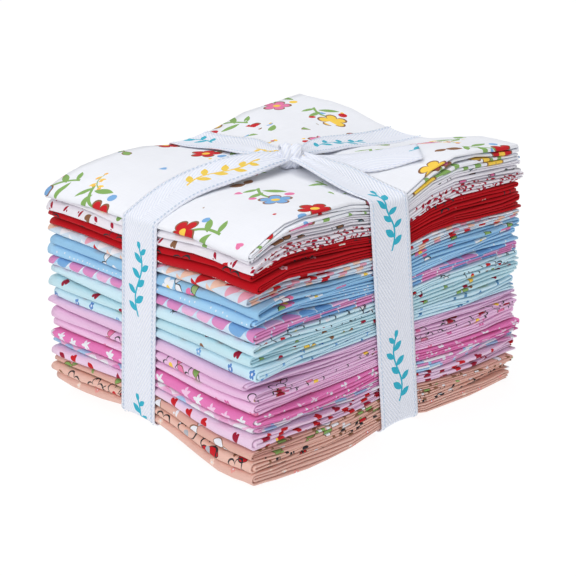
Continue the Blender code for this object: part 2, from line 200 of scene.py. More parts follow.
def stack_height(x, y, share):
    """Height of the surface number share, from 0 underneath to 1 on top."""
    across = x / WIDTH + 0.5
    along = y / DEPTH + 0.5
    front = TOP_NEAR + (TOP_RIGHT - TOP_NEAR) * across
    back = TOP_LEFT + (TOP_BACK - TOP_LEFT) * across
    top = front + (back - front) * along
    from_fold = np.clip(1.0 - (x + WIDTH / 2) / EDGE_ROLL_REACH, 0.0, 1.05)
    top_form = local_rise(x, y, TOP_FORM) - from_fold ** 2 * EDGE_ROLL_DROP
    bottom_form = local_rise(x, y, BOTTOM_FORM)
    waves = WAVES_UP_THE_STACK * share + x / WAVE_LENGTH_X + y / WAVE_LENGTH_Y
    inside = np.clip(share, 0.0, 1.0)
    fade = np.sqrt(np.clip(np.sin(math.pi * inside), 0.0, 1.0))
    wave = WAVE_HEIGHT * np.sin(2.0 * math.pi * waves) * fade
    fine_waves = FINE_WAVES_UP_THE_STACK * share - x / WAVE_LENGTH_Y + y / WAVE_LENGTH_X
    wave = wave + FINE_WAVE_HEIGHT * np.sin(2.0 * math.pi * fine_waves) * fade
    lifted = bottom_form * (1.0 - inside) ** FORM_POWER
    return lifted + top * share + top_form * inside ** FORM_POWER + wave


def hold(value):
    """How firmly the tape holds the edges flush: 1 under it, 0 at the corners."""
    past_tape = np.abs(value - HOLD_CENTRE) - HOLD_HALF
    return np.clip(1.0 - past_tape / HOLD_FADE, 0.0, 1.0)


def groove(x, y):
    """Depth that the two tapes under the stack press into the lowest piece."""
    nearest = np.minimum(np.abs(x - BOTTOM_BAND_X), np.abs(y - BOTTOM_BAND_Y))
    ramp = (GROOVE_HALF + GROOVE_SLOPE - nearest) / GROOVE_SLOPE
    return GROOVE_DEPTH * np.clip(ramp, 0.0, 1.0)


# Folding of a fat quarter
# A cut of 533 x 457 mm is folded in half and in half again both ways. First the short way, which
# gives a pack of four plies with its closed fold at -Y, then the pack the long way, with its
# closed fold at -X.
PACK = 0.00074
PACK_GAP = 0.00036
PLY = 0.00018
PIECE_GAP = 0.00038
FOLD_FLATTENING = 1.08
MOUTH_FLATTENING = 0.60
LONG_FOLD_INSETS = (0.0008, 0.0003)
SHORT_FOLD_INSETS = (0.0010, 0.0004)
LONG_STEPS = (15, 10, 8, 5)
SHORT_STEPS = (12, 7, 6, 4)
RUN_EASING = 0.09
EDGE_REACH = 0.014
RIPPLE_LENGTHS = (0.083, 0.037, 0.019)
SHOULDER = 0.0011
# the waves press plies together by this share of their spacing at most
PLY_STRAIN = 0.85


def double_fold(size, pack, gap, insets, steps, flattening):
    """Outer and inner side of a pack folded in half and in half again, and the cloth's length."""
    run_steps, loop_steps, mouth_steps, core_steps = steps
    thickness = 4 * pack + 3 * gap
    middle = thickness / 2
    half_gap = gap / 2
    pair = pack + half_gap
    spine = flattening * middle
    mouth = MOUTH_FLATTENING * pair
    third_inset, fourth_inset = insets
    left_x = -size / 2 + spine
    right_x = size / 2 - mouth
    points = []

    def run(start, end, outer, inner):
        for step in range(run_steps + 1):
            share = step / run_steps
            eased = share - RUN_EASING * math.sin(2.0 * math.pi * share)
            x = start + (end - start) * eased
            points.append((x, outer, x, inner))

    def bend(centre, level, outer, inner, start, end, count, stretch):
        for step in range(1, count):
            angle = math.radians(start + (end - start) * step / count)
            swing = stretch * math.cos(angle)
            rise = math.sin(angle)
            points.append((
                centre + outer * swing, level + outer * rise,
                centre + inner * swing, level + inner * rise,
            ))

    run(size / 2 - fourth_inset, left_x, 0.0, pack)
    bend(left_x, middle, middle, middle - pack, 270, 90, loop_steps, flattening)
    run(left_x, right_x, thickness, thickness - pack)
    bend(right_x, thickness - pair, pair, half_gap, 90, -90, mouth_steps, MOUTH_FLATTENING)
    run(right_x, left_x, middle + half_gap, middle + pair)
    bend(left_x, middle, half_gap, pair, 90, 270, core_steps, flattening)
    run(left_x, size / 2 - third_inset, middle - half_gap, middle - pair)
    table = np.array(points)
    centre_line = (table[:, :2] + table[:, 2:]) / 2
    lengths = np.hypot(*np.diff(centre_line, axis=0).T)
    flat = np.concatenate(([0.0], np.cumsum(lengths)))
    return table, flat


def ripple(values, random, size):
    """Gentle uneven line: a sum of three waves with the piece's own phases."""
    total = 0.0 * values
    for length in RIPPLE_LENGTHS:
        phase = random.uniform(0.0, 2.0 * math.pi)
        share = random.uniform(0.3, 1.0) * length / RIPPLE_LENGTHS[0]
        total = total + share * np.sin(2.0 * math.pi * values / length + phase)
    return size * total


def near_edge(distance):
    """1 on the edge, easing to 0 at the reach of its unevenness."""
    inside = np.clip(1.0 - distance / EDGE_REACH, 0.0, 1.0)
    return inside * inside * (3.0 - 2.0 * inside)


# columns: thickness of each piece at the open side, at the far and near end of the fold side, and
# at the near open corner
PIECE_HEIGHTS = (
    (1.12, 0.87, 0.70, 1.30), (0.88, 0.62, 0.62, 1.02), (1.00, 1.14, 0.80, 0.90),
    (0.98, 0.62, 0.90, 1.12), (1.04, 0.86, 1.12, 1.16), (1.02, 0.86, 0.96, 0.90),
    (1.06, 0.98, 1.22, 0.98), (0.94, 1.18, 0.94, 0.92), (0.92, 1.01, 1.02, 0.80),
    (1.04, 1.22, 1.30, 1.02), (1.04, 0.98, 1.05, 1.26), (1.10, 1.18, 1.05, 1.32),
    (0.90, 1.01, 1.12, 0.70), (1.04, 1.13, 0.99, 0.92), (0.88, 1.12, 0.96, 0.94),
    (1.08, 1.18, 1.05, 1.06), (0.86, 0.60, 0.62, 1.04), (1.04, 1.07, 1.30, 1.06),
    (1.02, 0.98, 0.86, 0.74), (1.04, 1.01, 1.18, 0.84), (1.10, 1.30, 1.20, 0.80),
)
OPEN_CORNER_START = (0.012, -0.020)
OPEN_CORNER_REACH = 0.030
FOLD_SIDE_REACH = 0.044


def piece_slabs(heights):
    """Lowest and highest share of the stack for each piece, from the top down."""
    mean_height = (TOP_NEAR + TOP_LEFT + TOP_RIGHT + TOP_BACK) / 4
    gap = PIECE_GAP / mean_height
    cloth = 1.0 - gap * (len(heights) - 1)
    slabs = []
    top = 1.0
    for height in heights:
        bottom = top - cloth * height / sum(heights)
        slabs.append((max(0.0, bottom), top))
        top = bottom - gap
    return slabs


SLABS = np.array([piece_slabs(heights) for heights in zip(*PIECE_HEIGHTS)])


def piece_slab(number, x, y):
    """Lowest and highest share of one piece at each place."""
    from_fold = np.clip(1.0 - (x + WIDTH / 2) / FOLD_SIDE_REACH, 0.0, 1.0)
    fold_side = from_fold * from_fold * (3.0 - 2.0 * from_fold)
    far = np.clip(y / DEPTH + 0.5, 0.0, 1.0)
    open_corner = np.clip((x - OPEN_CORNER_START[0]) / OPEN_CORNER_REACH, 0.0, 1.0)
    open_corner = open_corner * np.clip((OPEN_CORNER_START[1] - y) / OPEN_CORNER_REACH, 0.0, 1.0)
    edges = []
    for end in range(2):
        open_side, far_fold, near_fold, near_open = SLABS[:, number, end]
        open_side = open_side + (near_open - open_side) * open_corner
        fold_share = far_fold * far + near_fold * (1.0 - far)
        edges.append(open_side + (fold_share - open_side) * fold_side)
    return edges


# how far the folded edges swell and wander, and how the plies bow apart between them
PUFF = 0.08
PUFF_RIPPLE = 0.30
PUFF_LIMITS = (0.62, 1.27)
FOLD_RIPPLE = 0.00050
MOUTH_RIPPLE = 0.0005
END_RIPPLE = 0.0003
LONG_SIDE_RIPPLE = 0.00090
FAR_SIDE_RIPPLE = 0.0008
SAG = 0.070
PINCH = 0.034
FLUTTER = 0.014
SLACK = 0.055
SLACK_RIPPLE = 0.05


def lay_cloth(name, x, y, z, flat_along, flat_across, face_order):
    """Mesh of a grid of places; the UV map is the cloth's own flat place in metres."""
    rows, columns = z.shape
    corners = np.stack((x, y, z), axis=-1).reshape(-1, 3)
    index = np.arange(rows * columns).reshape(rows, columns)
    quad = (index[:-1, :-1], index[:-1, 1:], index[1:, 1:], index[1:, :-1])
    quads = np.stack([quad[corner] for corner in face_order], axis=-1).reshape(-1, 4)
    data = bpy.data.meshes.new(name)
    data.from_pydata(corners.tolist(), [], quads.tolist())
    flat = np.stack(np.broadcast_arrays(flat_along, flat_across), axis=-1).reshape(-1, 2)
    layer = data.uv_layers.new(name="cloth")
    layer.data.foreach_set("uv", flat[quads.reshape(-1)].astype(np.float32).reshape(-1))
    return data


def fold_quarter(number, name, shift_x, shift_y, turn_degrees, looseness, reach):
    """Mesh of one folded fat quarter; the reach is how far its near open corner stands out."""
    random = np.random.default_rng(4100 + number)
    long_way, flat_long = double_fold(
        WIDTH, PACK, PACK_GAP, LONG_FOLD_INSETS, LONG_STEPS, FOLD_FLATTENING)
    ply_gap = (PACK - 4 * PLY) / 3
    short_way, flat_short = double_fold(
        DEPTH, PLY, ply_gap, SHORT_FOLD_INSETS, SHORT_STEPS, 1.0)
    y = ((short_way[:, 0] + short_way[:, 2]) / 2)[None, :]
    level = ((short_way[:, 1] + short_way[:, 3]) / 2 / PACK)[None, :]
    outer_x, outer_h, inner_x, inner_h = (long_way[:, column][:, None] for column in range(4))
    along = flat_long[:, None]
    closed = near_edge(y + DEPTH / 2)
    puff = 1.0 + closed * (PUFF + ripple(along, random, PUFF_RIPPLE) * looseness)
    level = 0.5 + (level - 0.5) * np.clip(puff, *PUFF_LIMITS)
    x = outer_x * (1.0 - level) + inner_x * level
    height = outer_h * (1.0 - level) + inner_h * level
    part = height / (4 * PACK + 3 * PACK_GAP)
    inside = np.clip(part, 0.0, 1.0)
    turn = math.radians(turn_degrees)
    free_x = 1.0 - hold(y)
    free_y = 1.0 - hold(x)
    past_x = near_edge(WIDTH / 2 - np.abs(x))
    past_y = near_edge(DEPTH / 2 - np.abs(y))
    left = near_edge(x + WIDTH / 2)
    right = near_edge(WIDTH / 2 - x)
    open_side = near_edge(DEPTH / 2 - y)
    moved_x = (shift_x - turn * y) * free_x * past_x
    moved_x = moved_x + left * ripple(y, random, FOLD_RIPPLE) * free_x * looseness
    moved_x = moved_x + right * ripple(along, random, MOUTH_RIPPLE) * (0.25 + 0.75 * free_x)
    moved_x = moved_x + right * ripple(y, random, END_RIPPLE) * free_x
    open_share = np.clip(x / WIDTH + 0.5, 0.0, 1.0)
    moved_x = moved_x + reach * open_share ** 2 * free_x * (y < HOLD_CENTRE)
    moved_y = (shift_y + turn * x) * free_y * past_y
    uneven = ripple(along, random, LONG_SIDE_RIPPLE) * (0.40 + free_y) * looseness
    moved_y = moved_y + closed * uneven
    moved_y = moved_y + open_side * ripple(along, random, FAR_SIDE_RIPPLE) * free_y
    if number == 0:
        moved_y = moved_y + closed * SHOULDER * inside ** 2
    sag, pinch, flutter = (
        ripple(x, random, size) + ripple(y, random, size) for size in (SAG, PINCH, FLUTTER))
    strain = math.pi * (np.abs(sag) + 2.0 * np.abs(pinch) + 3.0 * np.abs(flutter))
    kept = np.minimum(1.0, PLY_STRAIN / np.maximum(strain, PLY_STRAIN))
    bowed = sag * np.sin(math.pi * inside) + pinch * np.sin(2.0 * math.pi * inside)
    bowed = bowed + flutter * np.sin(3.0 * math.pi * inside)
    part = part + bowed * kept
    loose = ripple(x, random, SLACK_RIPPLE) + ripple(y, random, SLACK_RIPPLE)
    slack = (SLACK + 0.5 * np.abs(loose)) * np.maximum(free_x * past_y, free_y * past_x)
    lowest = len(PIECE_HEIGHTS) - 1
    if 0 < number < lowest:
        part = 0.5 + (part - 0.5) * (1.0 - slack)
    x = x + moved_x
    y = y + moved_y
    low, high = piece_slab(number, x, y)
    z = stack_height(x, y, low + (high - low) * part)
    if number == lowest:
        z = z + groove(x, y) * (1.0 - np.clip(part, 0.0, 1.0)) + PLY / 2
        z = np.maximum(z, PLY / 2)
    data = lay_cloth(name, x, y, z, along, flat_short[None, :], (0, 1, 2, 3))
    data.shade_smooth()
    quarter = place_object(name, data)
    wall = quarter.modifiers.new("ply", "SOLIDIFY")
    wall.thickness = PLY
    wall.offset = 0.0
    return quarter


# Print and weave of the cotton
# Plain-woven quilting cotton with the print on it. The print is laid out in flat metres on the
# cut, so it runs round the folds as on the real cloth.
def feed(tree, value, socket):
    if isinstance(value, bpy.types.NodeSocket):
        tree.links.new(value, socket)
    else:
        socket.default_value = value


def calc(tree, operation, *values):
    """Output of a Math node; each value is a number or a socket."""
    node = tree.nodes.new("ShaderNodeMath")
    node.operation = operation
    for socket, value in zip(node.inputs, values):
        feed(tree, value, socket)
    return node.outputs[0]


def vector_calc(tree, operation, *values):
    """Output of a Vector Math node; with SCALE the second value is the factor."""
    node = tree.nodes.new("ShaderNodeVectorMath")
    node.operation = operation
    sockets = (node.inputs[0], node.inputs["Scale"]) if operation == "SCALE" else node.inputs
    for socket, value in zip(sockets, values):
        feed(tree, value, socket)
    return node.outputs["Value"] if operation == "LENGTH" else node.outputs[0]


def split(tree, vector):
    """The X, Y and Z of a vector."""
    node = tree.nodes.new("ShaderNodeSeparateXYZ")
    tree.links.new(vector, node.inputs[0])
    return tuple(node.outputs)


def paint(tree, mask, under, over, blend="MIX"):
    """Colour under with colour over where the mask is 1."""
    node = tree.nodes.new("ShaderNodeMix")
    node.data_type = "RGBA"
    node.blend_type = blend
    feed(tree, mask, node.inputs[0])
    for value, socket in ((under, node.inputs[6]), (over, node.inputs[7])):
        feed(tree, value if isinstance(value, bpy.types.NodeSocket) else (*value, 1.0), socket)
    return node.outputs[2]


def new_group(name, inputs, outputs):
    """Shader node group with named sockets; inputs are (name, kind, value)."""
    group = bpy.data.node_groups.new(name, "ShaderNodeTree")
    for label, kind, value in inputs:
        socket = group.interface.new_socket(label, in_out="INPUT", socket_type="NodeSocket" + kind)
        if value is not None:
            socket.default_value = value
    for label, kind in outputs:
        group.interface.new_socket(label, in_out="OUTPUT", socket_type="NodeSocket" + kind)
    start = group.nodes.new("NodeGroupInput").outputs
    end = group.nodes.new("NodeGroupOutput").inputs
    return group, start, end


def use_group(tree, group, **values):
    """Places a group in a tree; values are named with _ for a space."""
    node = tree.nodes.new("ShaderNodeGroup")
    node.node_tree = group
    for label, value in values.items():
        feed(tree, value, node.inputs[label.replace("_", " ")])
    return node.outputs


def cloth_place(tree):
    node = tree.nodes.new("ShaderNodeUVMap")
    node.uv_map = "cloth"
    return node.outputs[0]


THREAD_TONE = 0.94
# the last row is for faint clouds, the others for thicker and thinner yarns both ways
CLOUD_STRETCHES = ((2400.0, 120.0, 1.0), (120.0, 2400.0, 1.0), (90.0, 90.0, 1.0))
CLOUD_SHARE = 0.045
# the tone gets this much painted shade from the crossings of the threads
CROSSING_SHADE_SHARE = 0.012


def build_weave_group():
    """Over-and-under threads, thicker and thinner yarns, and faint cloudiness.

    The tone also carries a faint painted shade: lighter where the crossings stand up, darker where
    they sink.
    """
    group, start, end = new_group(
        "plain_weave", [("Pitch", "Float", 0.0004)], [("Height", "Float"), ("Tone and Shade", "Float")])
    place = cloth_place(group)
    turns = calc(group, "DIVIDE", 2.0 * math.pi, start["Pitch"])
    along, across, _ = split(group, place)
    warp, weft = (
        calc(group, "SINE", calc(group, "MULTIPLY", way, turns)) for way in (along, across))
    crossing = calc(group, "MULTIPLY", warp, weft)
    tone = THREAD_TONE
    for stretch in CLOUD_STRETCHES:
        noise = group.nodes.new("ShaderNodeTexNoise")
        noise.inputs["Scale"].default_value = 1.0
        noise.inputs["Detail"].default_value = 1.0
        group.links.new(vector_calc(group, "MULTIPLY", place, stretch), noise.inputs["Vector"])
        tone = calc(group, "MULTIPLY_ADD", noise.outputs["Fac"], CLOUD_SHARE, tone)
    group.links.new(calc(group, "ADD", crossing, tone), end["Height"])
    # painted shade on the tone: lighter where the crossings stand up, darker where they sink
    group.links.new(calc(group, "MULTIPLY_ADD", crossing, CROSSING_SHADE_SHARE, tone), end["Tone and Shade"])
    return group


MARK_TURNS = 43.0


def build_scatter_group():
    """Places one mark in each cell of the flat cloth, shifted and turned by chance."""
    inputs = [
        ("Cell", "Float", 0.02), ("Fill", "Float", 0.8), ("Wander", "Float", 0.4),
        ("Turn", "Float", 1.0), ("Row", "Float", 1.0), ("Seed", "Vector", (0.0, 0.0, 0.0)),
    ]
    outputs = [("Place", "Vector"), ("Chance", "Float"), ("Present", "Float")]
    group, start, end = new_group("scattered_marks", inputs, outputs)
    per_cell = calc(group, "DIVIDE", 1.0, start["Cell"])
    rows = group.nodes.new("ShaderNodeCombineXYZ")
    rows.inputs[0].default_value = 1.0
    rows.inputs[2].default_value = 1.0
    group.links.new(start["Row"], rows.inputs[1])
    spread = vector_calc(group, "SCALE", cloth_place(group), per_cell)
    spread = vector_calc(group, "DIVIDE", spread, rows.outputs[0])
    cells = vector_calc(group, "ADD", spread, start["Seed"])
    noise = group.nodes.new("ShaderNodeTexWhiteNoise")
    noise.noise_dimensions = "3D"
    group.links.new(vector_calc(group, "FLOOR", cells), noise.inputs["Vector"])
    local = vector_calc(group, "SUBTRACT", vector_calc(group, "FRACTION", cells), (0.5, 0.5, 0.0))
    wander = vector_calc(group, "SUBTRACT", noise.outputs["Color"], (0.5, 0.5, 0.5))
    shift = vector_calc(group, "SCALE", wander, start["Wander"])
    centred = vector_calc(group, "SUBTRACT", local, shift)
    centred = vector_calc(group, "MULTIPLY", centred, rows.outputs[0])
    turned = group.nodes.new("ShaderNodeVectorRotate")
    turned.rotation_type = "Z_AXIS"
    group.links.new(centred, turned.inputs["Vector"])
    chance = split(group, noise.outputs["Color"])[2]
    angle = calc(group, "MULTIPLY", calc(group, "MULTIPLY", chance, MARK_TURNS), start["Turn"])
    group.links.new(angle, turned.inputs["Angle"])
    sized = vector_calc(group, "SCALE", turned.outputs[0], start["Cell"])
    group.links.new(vector_calc(group, "MULTIPLY", sized, (1.0, 1.0, 0.0)), end["Place"])
    group.links.new(chance, end["Chance"])
    group.links.new(calc(group, "LESS_THAN", noise.outputs["Value"], start["Fill"]), end["Present"])
    return group


def new_mark(name, values, masks):
    """Group that shapes one mark, with X and Y of the mark's own place."""
    inputs = [("Place", "Vector", None)] + [(label, "Float", value) for label, value in values]
    group, start, end = new_group(name, inputs, [(mask, "Float") for mask in masks])
    x, y, _ = split(group, start["Place"])
    return group, start, end, x, y


PETAL_ROUNDNESS = 0.6
FLOWER_MIDDLE = 0.27
FLOWER_PEN = 0.07
LEAF_PEN = 0.035
HEART_LOBES = 0.75
HEART_REACH = 0.62
STAR_NOTCH = 0.62


def build_petal_group():
    """Flower of rounded petals with its middle and a pen outline, 1 in radius."""
    group, start, end, x, y = new_mark(
        "flower_mark", [("Petals", 5.0)], ("Petal", "Middle", "Line"))
    distance = vector_calc(group, "LENGTH", start["Place"])
    half_petals = calc(group, "MULTIPLY", start["Petals"], 0.5)
    turn = calc(group, "MULTIPLY", calc(group, "ARCTAN2", y, x), half_petals)
    wave = calc(group, "ABSOLUTE", calc(group, "COSINE", turn))
    edge = calc(group, "MULTIPLY_ADD", calc(group, "POWER", wave, PETAL_ROUNDNESS), 0.5, 0.5)
    off_edge = calc(group, "ABSOLUTE", calc(group, "SUBTRACT", distance, edge))
    limits = (
        (distance, edge, "Petal"), (distance, FLOWER_MIDDLE, "Middle"),
        (off_edge, FLOWER_PEN, "Line"),
    )
    for value, limit, mask in limits:
        group.links.new(calc(group, "LESS_THAN", value, limit), end[mask])
    return group


def build_leaf_group():
    """Pointed leaf from 0 to 1 along X, with its pen outline."""
    group, start, end, x, y = new_mark("leaf_mark", [("Width", 0.22)], ("Leaf", "Line"))
    middle = calc(group, "MULTIPLY_ADD", x, 2.0, -1.0)
    round_off = calc(group, "SUBTRACT", 1.0, calc(group, "MULTIPLY", middle, middle))
    edge = calc(group, "MULTIPLY", round_off, start["Width"])
    off_axis = calc(group, "ABSOLUTE", y)
    group.links.new(calc(group, "LESS_THAN", off_axis, edge), end["Leaf"])
    off_edge = calc(group, "ABSOLUTE", calc(group, "SUBTRACT", off_axis, edge))
    inside = calc(group, "GREATER_THAN", round_off, -0.05)
    thin = calc(group, "LESS_THAN", off_edge, LEAF_PEN)
    group.links.new(calc(group, "MULTIPLY", inside, thin), end["Line"])
    return group


def build_stroke_group():
    """Curved pen stroke from 0 to 1 along X."""
    group, start, end, x, y = new_mark(
        "stroke_mark", [("Bend", 0.2), ("Width", 0.05)], ("Stroke",))
    arch = calc(group, "SINE", calc(group, "MULTIPLY", x, math.pi))
    curve = calc(group, "MULTIPLY", arch, start["Bend"])
    off_line = calc(group, "ABSOLUTE", calc(group, "SUBTRACT", y, curve))
    thin = calc(group, "LESS_THAN", off_line, start["Width"])
    off_middle = calc(group, "ABSOLUTE", calc(group, "SUBTRACT", x, 0.5))
    length = calc(group, "LESS_THAN", off_middle, 0.5)
    group.links.new(calc(group, "MULTIPLY", thin, length), end["Stroke"])
    return group


def build_heart_group():
    """Plain heart, about 1 in radius, point down."""
    group, start, end, x, y = new_mark("heart_mark", [], ("Heart",))
    across = calc(group, "ABSOLUTE", x)
    lobes = calc(group, "MULTIPLY", calc(group, "SQRT", across), HEART_LOBES)
    up = calc(group, "SUBTRACT", y, lobes)
    squares = (calc(group, "MULTIPLY", way, way) for way in (across, up))
    heart = calc(group, "LESS_THAN", calc(group, "ADD", *squares), HEART_REACH)
    group.links.new(heart, end["Heart"])
    return group


def build_star_group():
    """Five-pointed star, 1 in radius."""
    group, start, end, x, y = new_mark("star_mark", [], ("Star",))
    distance = vector_calc(group, "LENGTH", start["Place"])
    fifth = calc(group, "PINGPONG", calc(group, "ARCTAN2", y, x), math.pi / 5)
    edge = calc(group, "MULTIPLY_ADD", fifth, -STAR_NOTCH / (math.pi / 5), 1.0)
    group.links.new(calc(group, "LESS_THAN", distance, edge), end["Star"])
    return group


WEAVE = build_weave_group()
SCATTER = build_scatter_group()
FLOWER = build_petal_group()
LEAF = build_leaf_group()
STROKE = build_stroke_group()
HEART = build_heart_group()
STAR = build_star_group()

INK = (0.03, 0.03, 0.035)
RED = (0.58, 0.012, 0.02)
ROSE = (0.80, 0.20, 0.40)
SUN = (0.93, 0.62, 0.08)
SKY = (0.20, 0.42, 0.74)
GRASS = (0.24, 0.42, 0.12)
BARK = (0.26, 0.12, 0.06)
CREAM = (0.90, 0.86, 0.78)
WHITE = (0.84, 0.855, 0.91)


INK_CHANCES = 17.0


class Mark:
    """One printed mark: its own place, the chance that picks its ink, its size and its inks."""

    def __init__(self, tree, colour, place, chance, present, size, inks):
        self.tree = tree
        self.colour = colour
        self.place = place
        self.chance = chance
        self.present = present
        self.size = size
        self.inks = inks

    def at(self, x, y, turn, size):
        """Coordinates of a part of the mark, measured in the mark's size."""
        node = self.tree.nodes.new("ShaderNodeMapping")
        node.vector_type = "TEXTURE"
        node.inputs["Location"].default_value = (x * self.size, y * self.size, 0.0)
        node.inputs["Rotation"].default_value = (0.0, 0.0, math.radians(turn))
        node.inputs["Scale"].default_value = (size * self.size,) * 3
        self.tree.links.new(self.place, node.inputs["Vector"])
        return node.outputs[0]

    def shape(self, group, x=0.0, y=0.0, turn=0.0, size=1.0, **values):
        """Masks of a flower, leaf, stroke, heart or star."""
        return use_group(self.tree, group, Place=self.at(x, y, turn, size), **values)

    def ink(self, mask, *inks):
        """Prints the mask in one of the inks, picked by chance."""
        ink = inks[0]
        for number, other in enumerate(inks[1:], start=1):
            spread = calc(self.tree, "FRACT", calc(self.tree, "MULTIPLY", self.chance, INK_CHANCES))
            picked = calc(self.tree, "GREATER_THAN", spread, number / len(inks))
            ink = paint(self.tree, picked, ink, other)
        shown = calc(self.tree, "MULTIPLY", self.present, mask)
        self.colour = paint(self.tree, shown, self.colour, ink)

    def bead(self, x, y, size, *inks):
        near = vector_calc(self.tree, "LENGTH", self.at(x, y, 0.0, size))
        self.ink(calc(self.tree, "LESS_THAN", near, 1.0), *inks)


def draw_flower(mark):
    flower = mark.shape(FLOWER)
    mark.ink(flower["Petal"], *mark.inks[:-1])
    mark.ink(flower["Middle"], mark.inks[-1])


def draw_line_flower(mark):
    flower = mark.shape(FLOWER)
    mark.ink(flower["Middle"], *mark.inks)
    mark.ink(flower["Line"], INK)
    mark.ink(mark.shape(LEAF, 1.0, 0.0, 20, 1.2, Width=0.2)["Line"], INK)


def draw_posy(mark):
    """Flower on a bent stem with three leaves and two buds."""
    stem = mark.shape(STROKE, 0.0, -1.05, 84, 1.5, Bend=0.14, Width=0.035)
    mark.ink(stem["Stroke"], GRASS)
    for leaf in ((0.02, -0.75, 38, 0.8), (-0.02, -0.55, 150, 0.7), (0.0, -0.95, 172, 0.6)):
        mark.ink(mark.shape(LEAF, *leaf, Width=0.17)["Leaf"], GRASS)
    for bud in ((0.62, 0.02, 0.16), (-0.55, -0.10, 0.13)):
        mark.bead(*bud, *mark.inks[1:], mark.inks[0])
    head = mark.shape(FLOWER, 0.0, 0.42, 0, 0.52)
    mark.ink(head["Petal"], *mark.inks)
    mark.ink(head["Line"], BARK)
    mark.ink(head["Middle"], SUN)


def draw_spray(mark):
    """Arched stem with pairs of small leaves and a bead between them."""
    mark.ink(mark.shape(STROKE, -0.5, Bend=0.16, Width=0.018)["Stroke"], GRASS)
    for x, y, turn in ((-0.34, 0.07, 60), (-0.12, 0.14, -75), (0.10, 0.15, 70), (0.30, 0.08, -60)):
        mark.ink(mark.shape(LEAF, x, y, turn, 0.26, Width=0.24)["Leaf"], mark.inks[0])
    for x, y in ((-0.50, 0.0), (-0.22, 0.22), (0.02, 0.05), (0.24, 0.22), (0.50, 0.0)):
        mark.bead(x, y, 0.07, *mark.inks[1:])


def draw_leaf(mark):
    for turn, length in ((20, 1.0), (155, 0.85)):
        leaf = mark.shape(LEAF, 0.0, 0.0, turn, length, Width=0.3)
        mark.ink(leaf["Leaf"], *mark.inks[:-1])
        mark.ink(leaf["Line"], mark.inks[-1])


def draw_stroke(mark):
    """Short pointed dab of the brush with a dot beside it."""
    mark.ink(mark.shape(LEAF, -0.5, Width=0.20)["Leaf"], *mark.inks)
    mark.bead(0.2, 0.42, 0.13, *mark.inks)


def draw_heart(mark):
    mark.ink(mark.shape(HEART)["Heart"], *mark.inks)


def draw_star(mark):
    mark.ink(mark.shape(STAR)["Star"], *mark.inks)


def draw_dot(mark):
    mark.bead(0.0, 0.0, 1.0, *mark.inks)


def draw_point(mark):
    """Triangle that fills its cell, point up, as in a row of bunting."""
    x, y, _ = split(mark.tree, mark.at(0.0, 0.0, 0.0, 1.0))
    side = calc(mark.tree, "MULTIPLY", calc(mark.tree, "ABSOLUTE", x), 2.0)
    mark.ink(calc(mark.tree, "LESS_THAN", calc(mark.tree, "ADD", side, y), 0.5), *mark.inks)


def finish_cloth(tree, colour, weave, height, finish):
    """Joins the colour and the weave to the material's shader.

    The finish is the relief's strength and depth, the roughness, the specular level and the sheen.
    """
    strength, depth, roughness, specular, sheen = finish
    shader = tree.nodes["Principled BSDF"]
    # the weave's tone, with its faint painted shade on the crossings, multiplies the colour
    grey = tree.nodes.new("ShaderNodeCombineColor")
    for channel in grey.inputs:
        tree.links.new(weave["Tone and Shade"], channel)
    toned = paint(tree, 1.0, colour, grey.outputs[0], blend="MULTIPLY")
    tree.links.new(toned, shader.inputs["Base Color"])
    bump = tree.nodes.new("ShaderNodeBump")
    bump.inputs["Strength"].default_value = strength
    bump.inputs["Distance"].default_value = depth
    tree.links.new(height, bump.inputs["Height"])
    tree.links.new(bump.outputs[0], shader.inputs["Normal"])
    dull = calc(tree, "MULTIPLY_ADD", weave["Tone and Shade"], -0.3, roughness)
    tree.links.new(dull, shader.inputs["Roughness"])
    shader.inputs["Specular IOR Level"].default_value = specular
    shader.inputs["Sheen Weight"].default_value = sheen


COTTON_PITCH = 0.00042
COTTON_FINISH = (0.35, 0.00005, 1.15, 0.15, 0.05)


def print_cotton(name, ground, marks):
    """Printed cotton; marks are (drawing, cell, fill, wander, turn, size, inks) from below.

    An eighth value spreads the rows of marks that many cells apart.
    """
    cotton = bpy.data.materials.new(name)
    cotton.use_nodes = True
    tree = cotton.node_tree
    colour = ground
    for number, (draw, cell, fill, wander, turn, size, inks, *row) in enumerate(marks):
        seed = (3.7 * number + len(name), 5.3 * number + 1.9 * len(name), 0.0)
        scatter = use_group(
            tree, SCATTER, Cell=cell, Fill=fill, Wander=wander, Turn=turn, Seed=seed,
            Row=row[0] if row else 1.0)
        mark = Mark(
            tree, colour, scatter["Place"], scatter["Chance"], scatter["Present"], size, inks)
        draw(mark)
        colour = mark.colour
    weave = use_group(tree, WEAVE, Pitch=COTTON_PITCH)
    finish_cloth(tree, colour, weave, weave["Height"], COTTON_FINISH)
    return cotton


def make_quarter(number, slot, shift_x, shift_y, turn, looseness, reach, ground, marks):
    node = f"quarter_{number + 1:02d}_{slot}"
    quarter = fold_quarter(number, "fat_" + node, shift_x, shift_y, turn, looseness, reach)
    quarter.data.materials.append(print_cotton(slot + "_cotton", ground, marks))
    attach(quarter, "root")
    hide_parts(node)


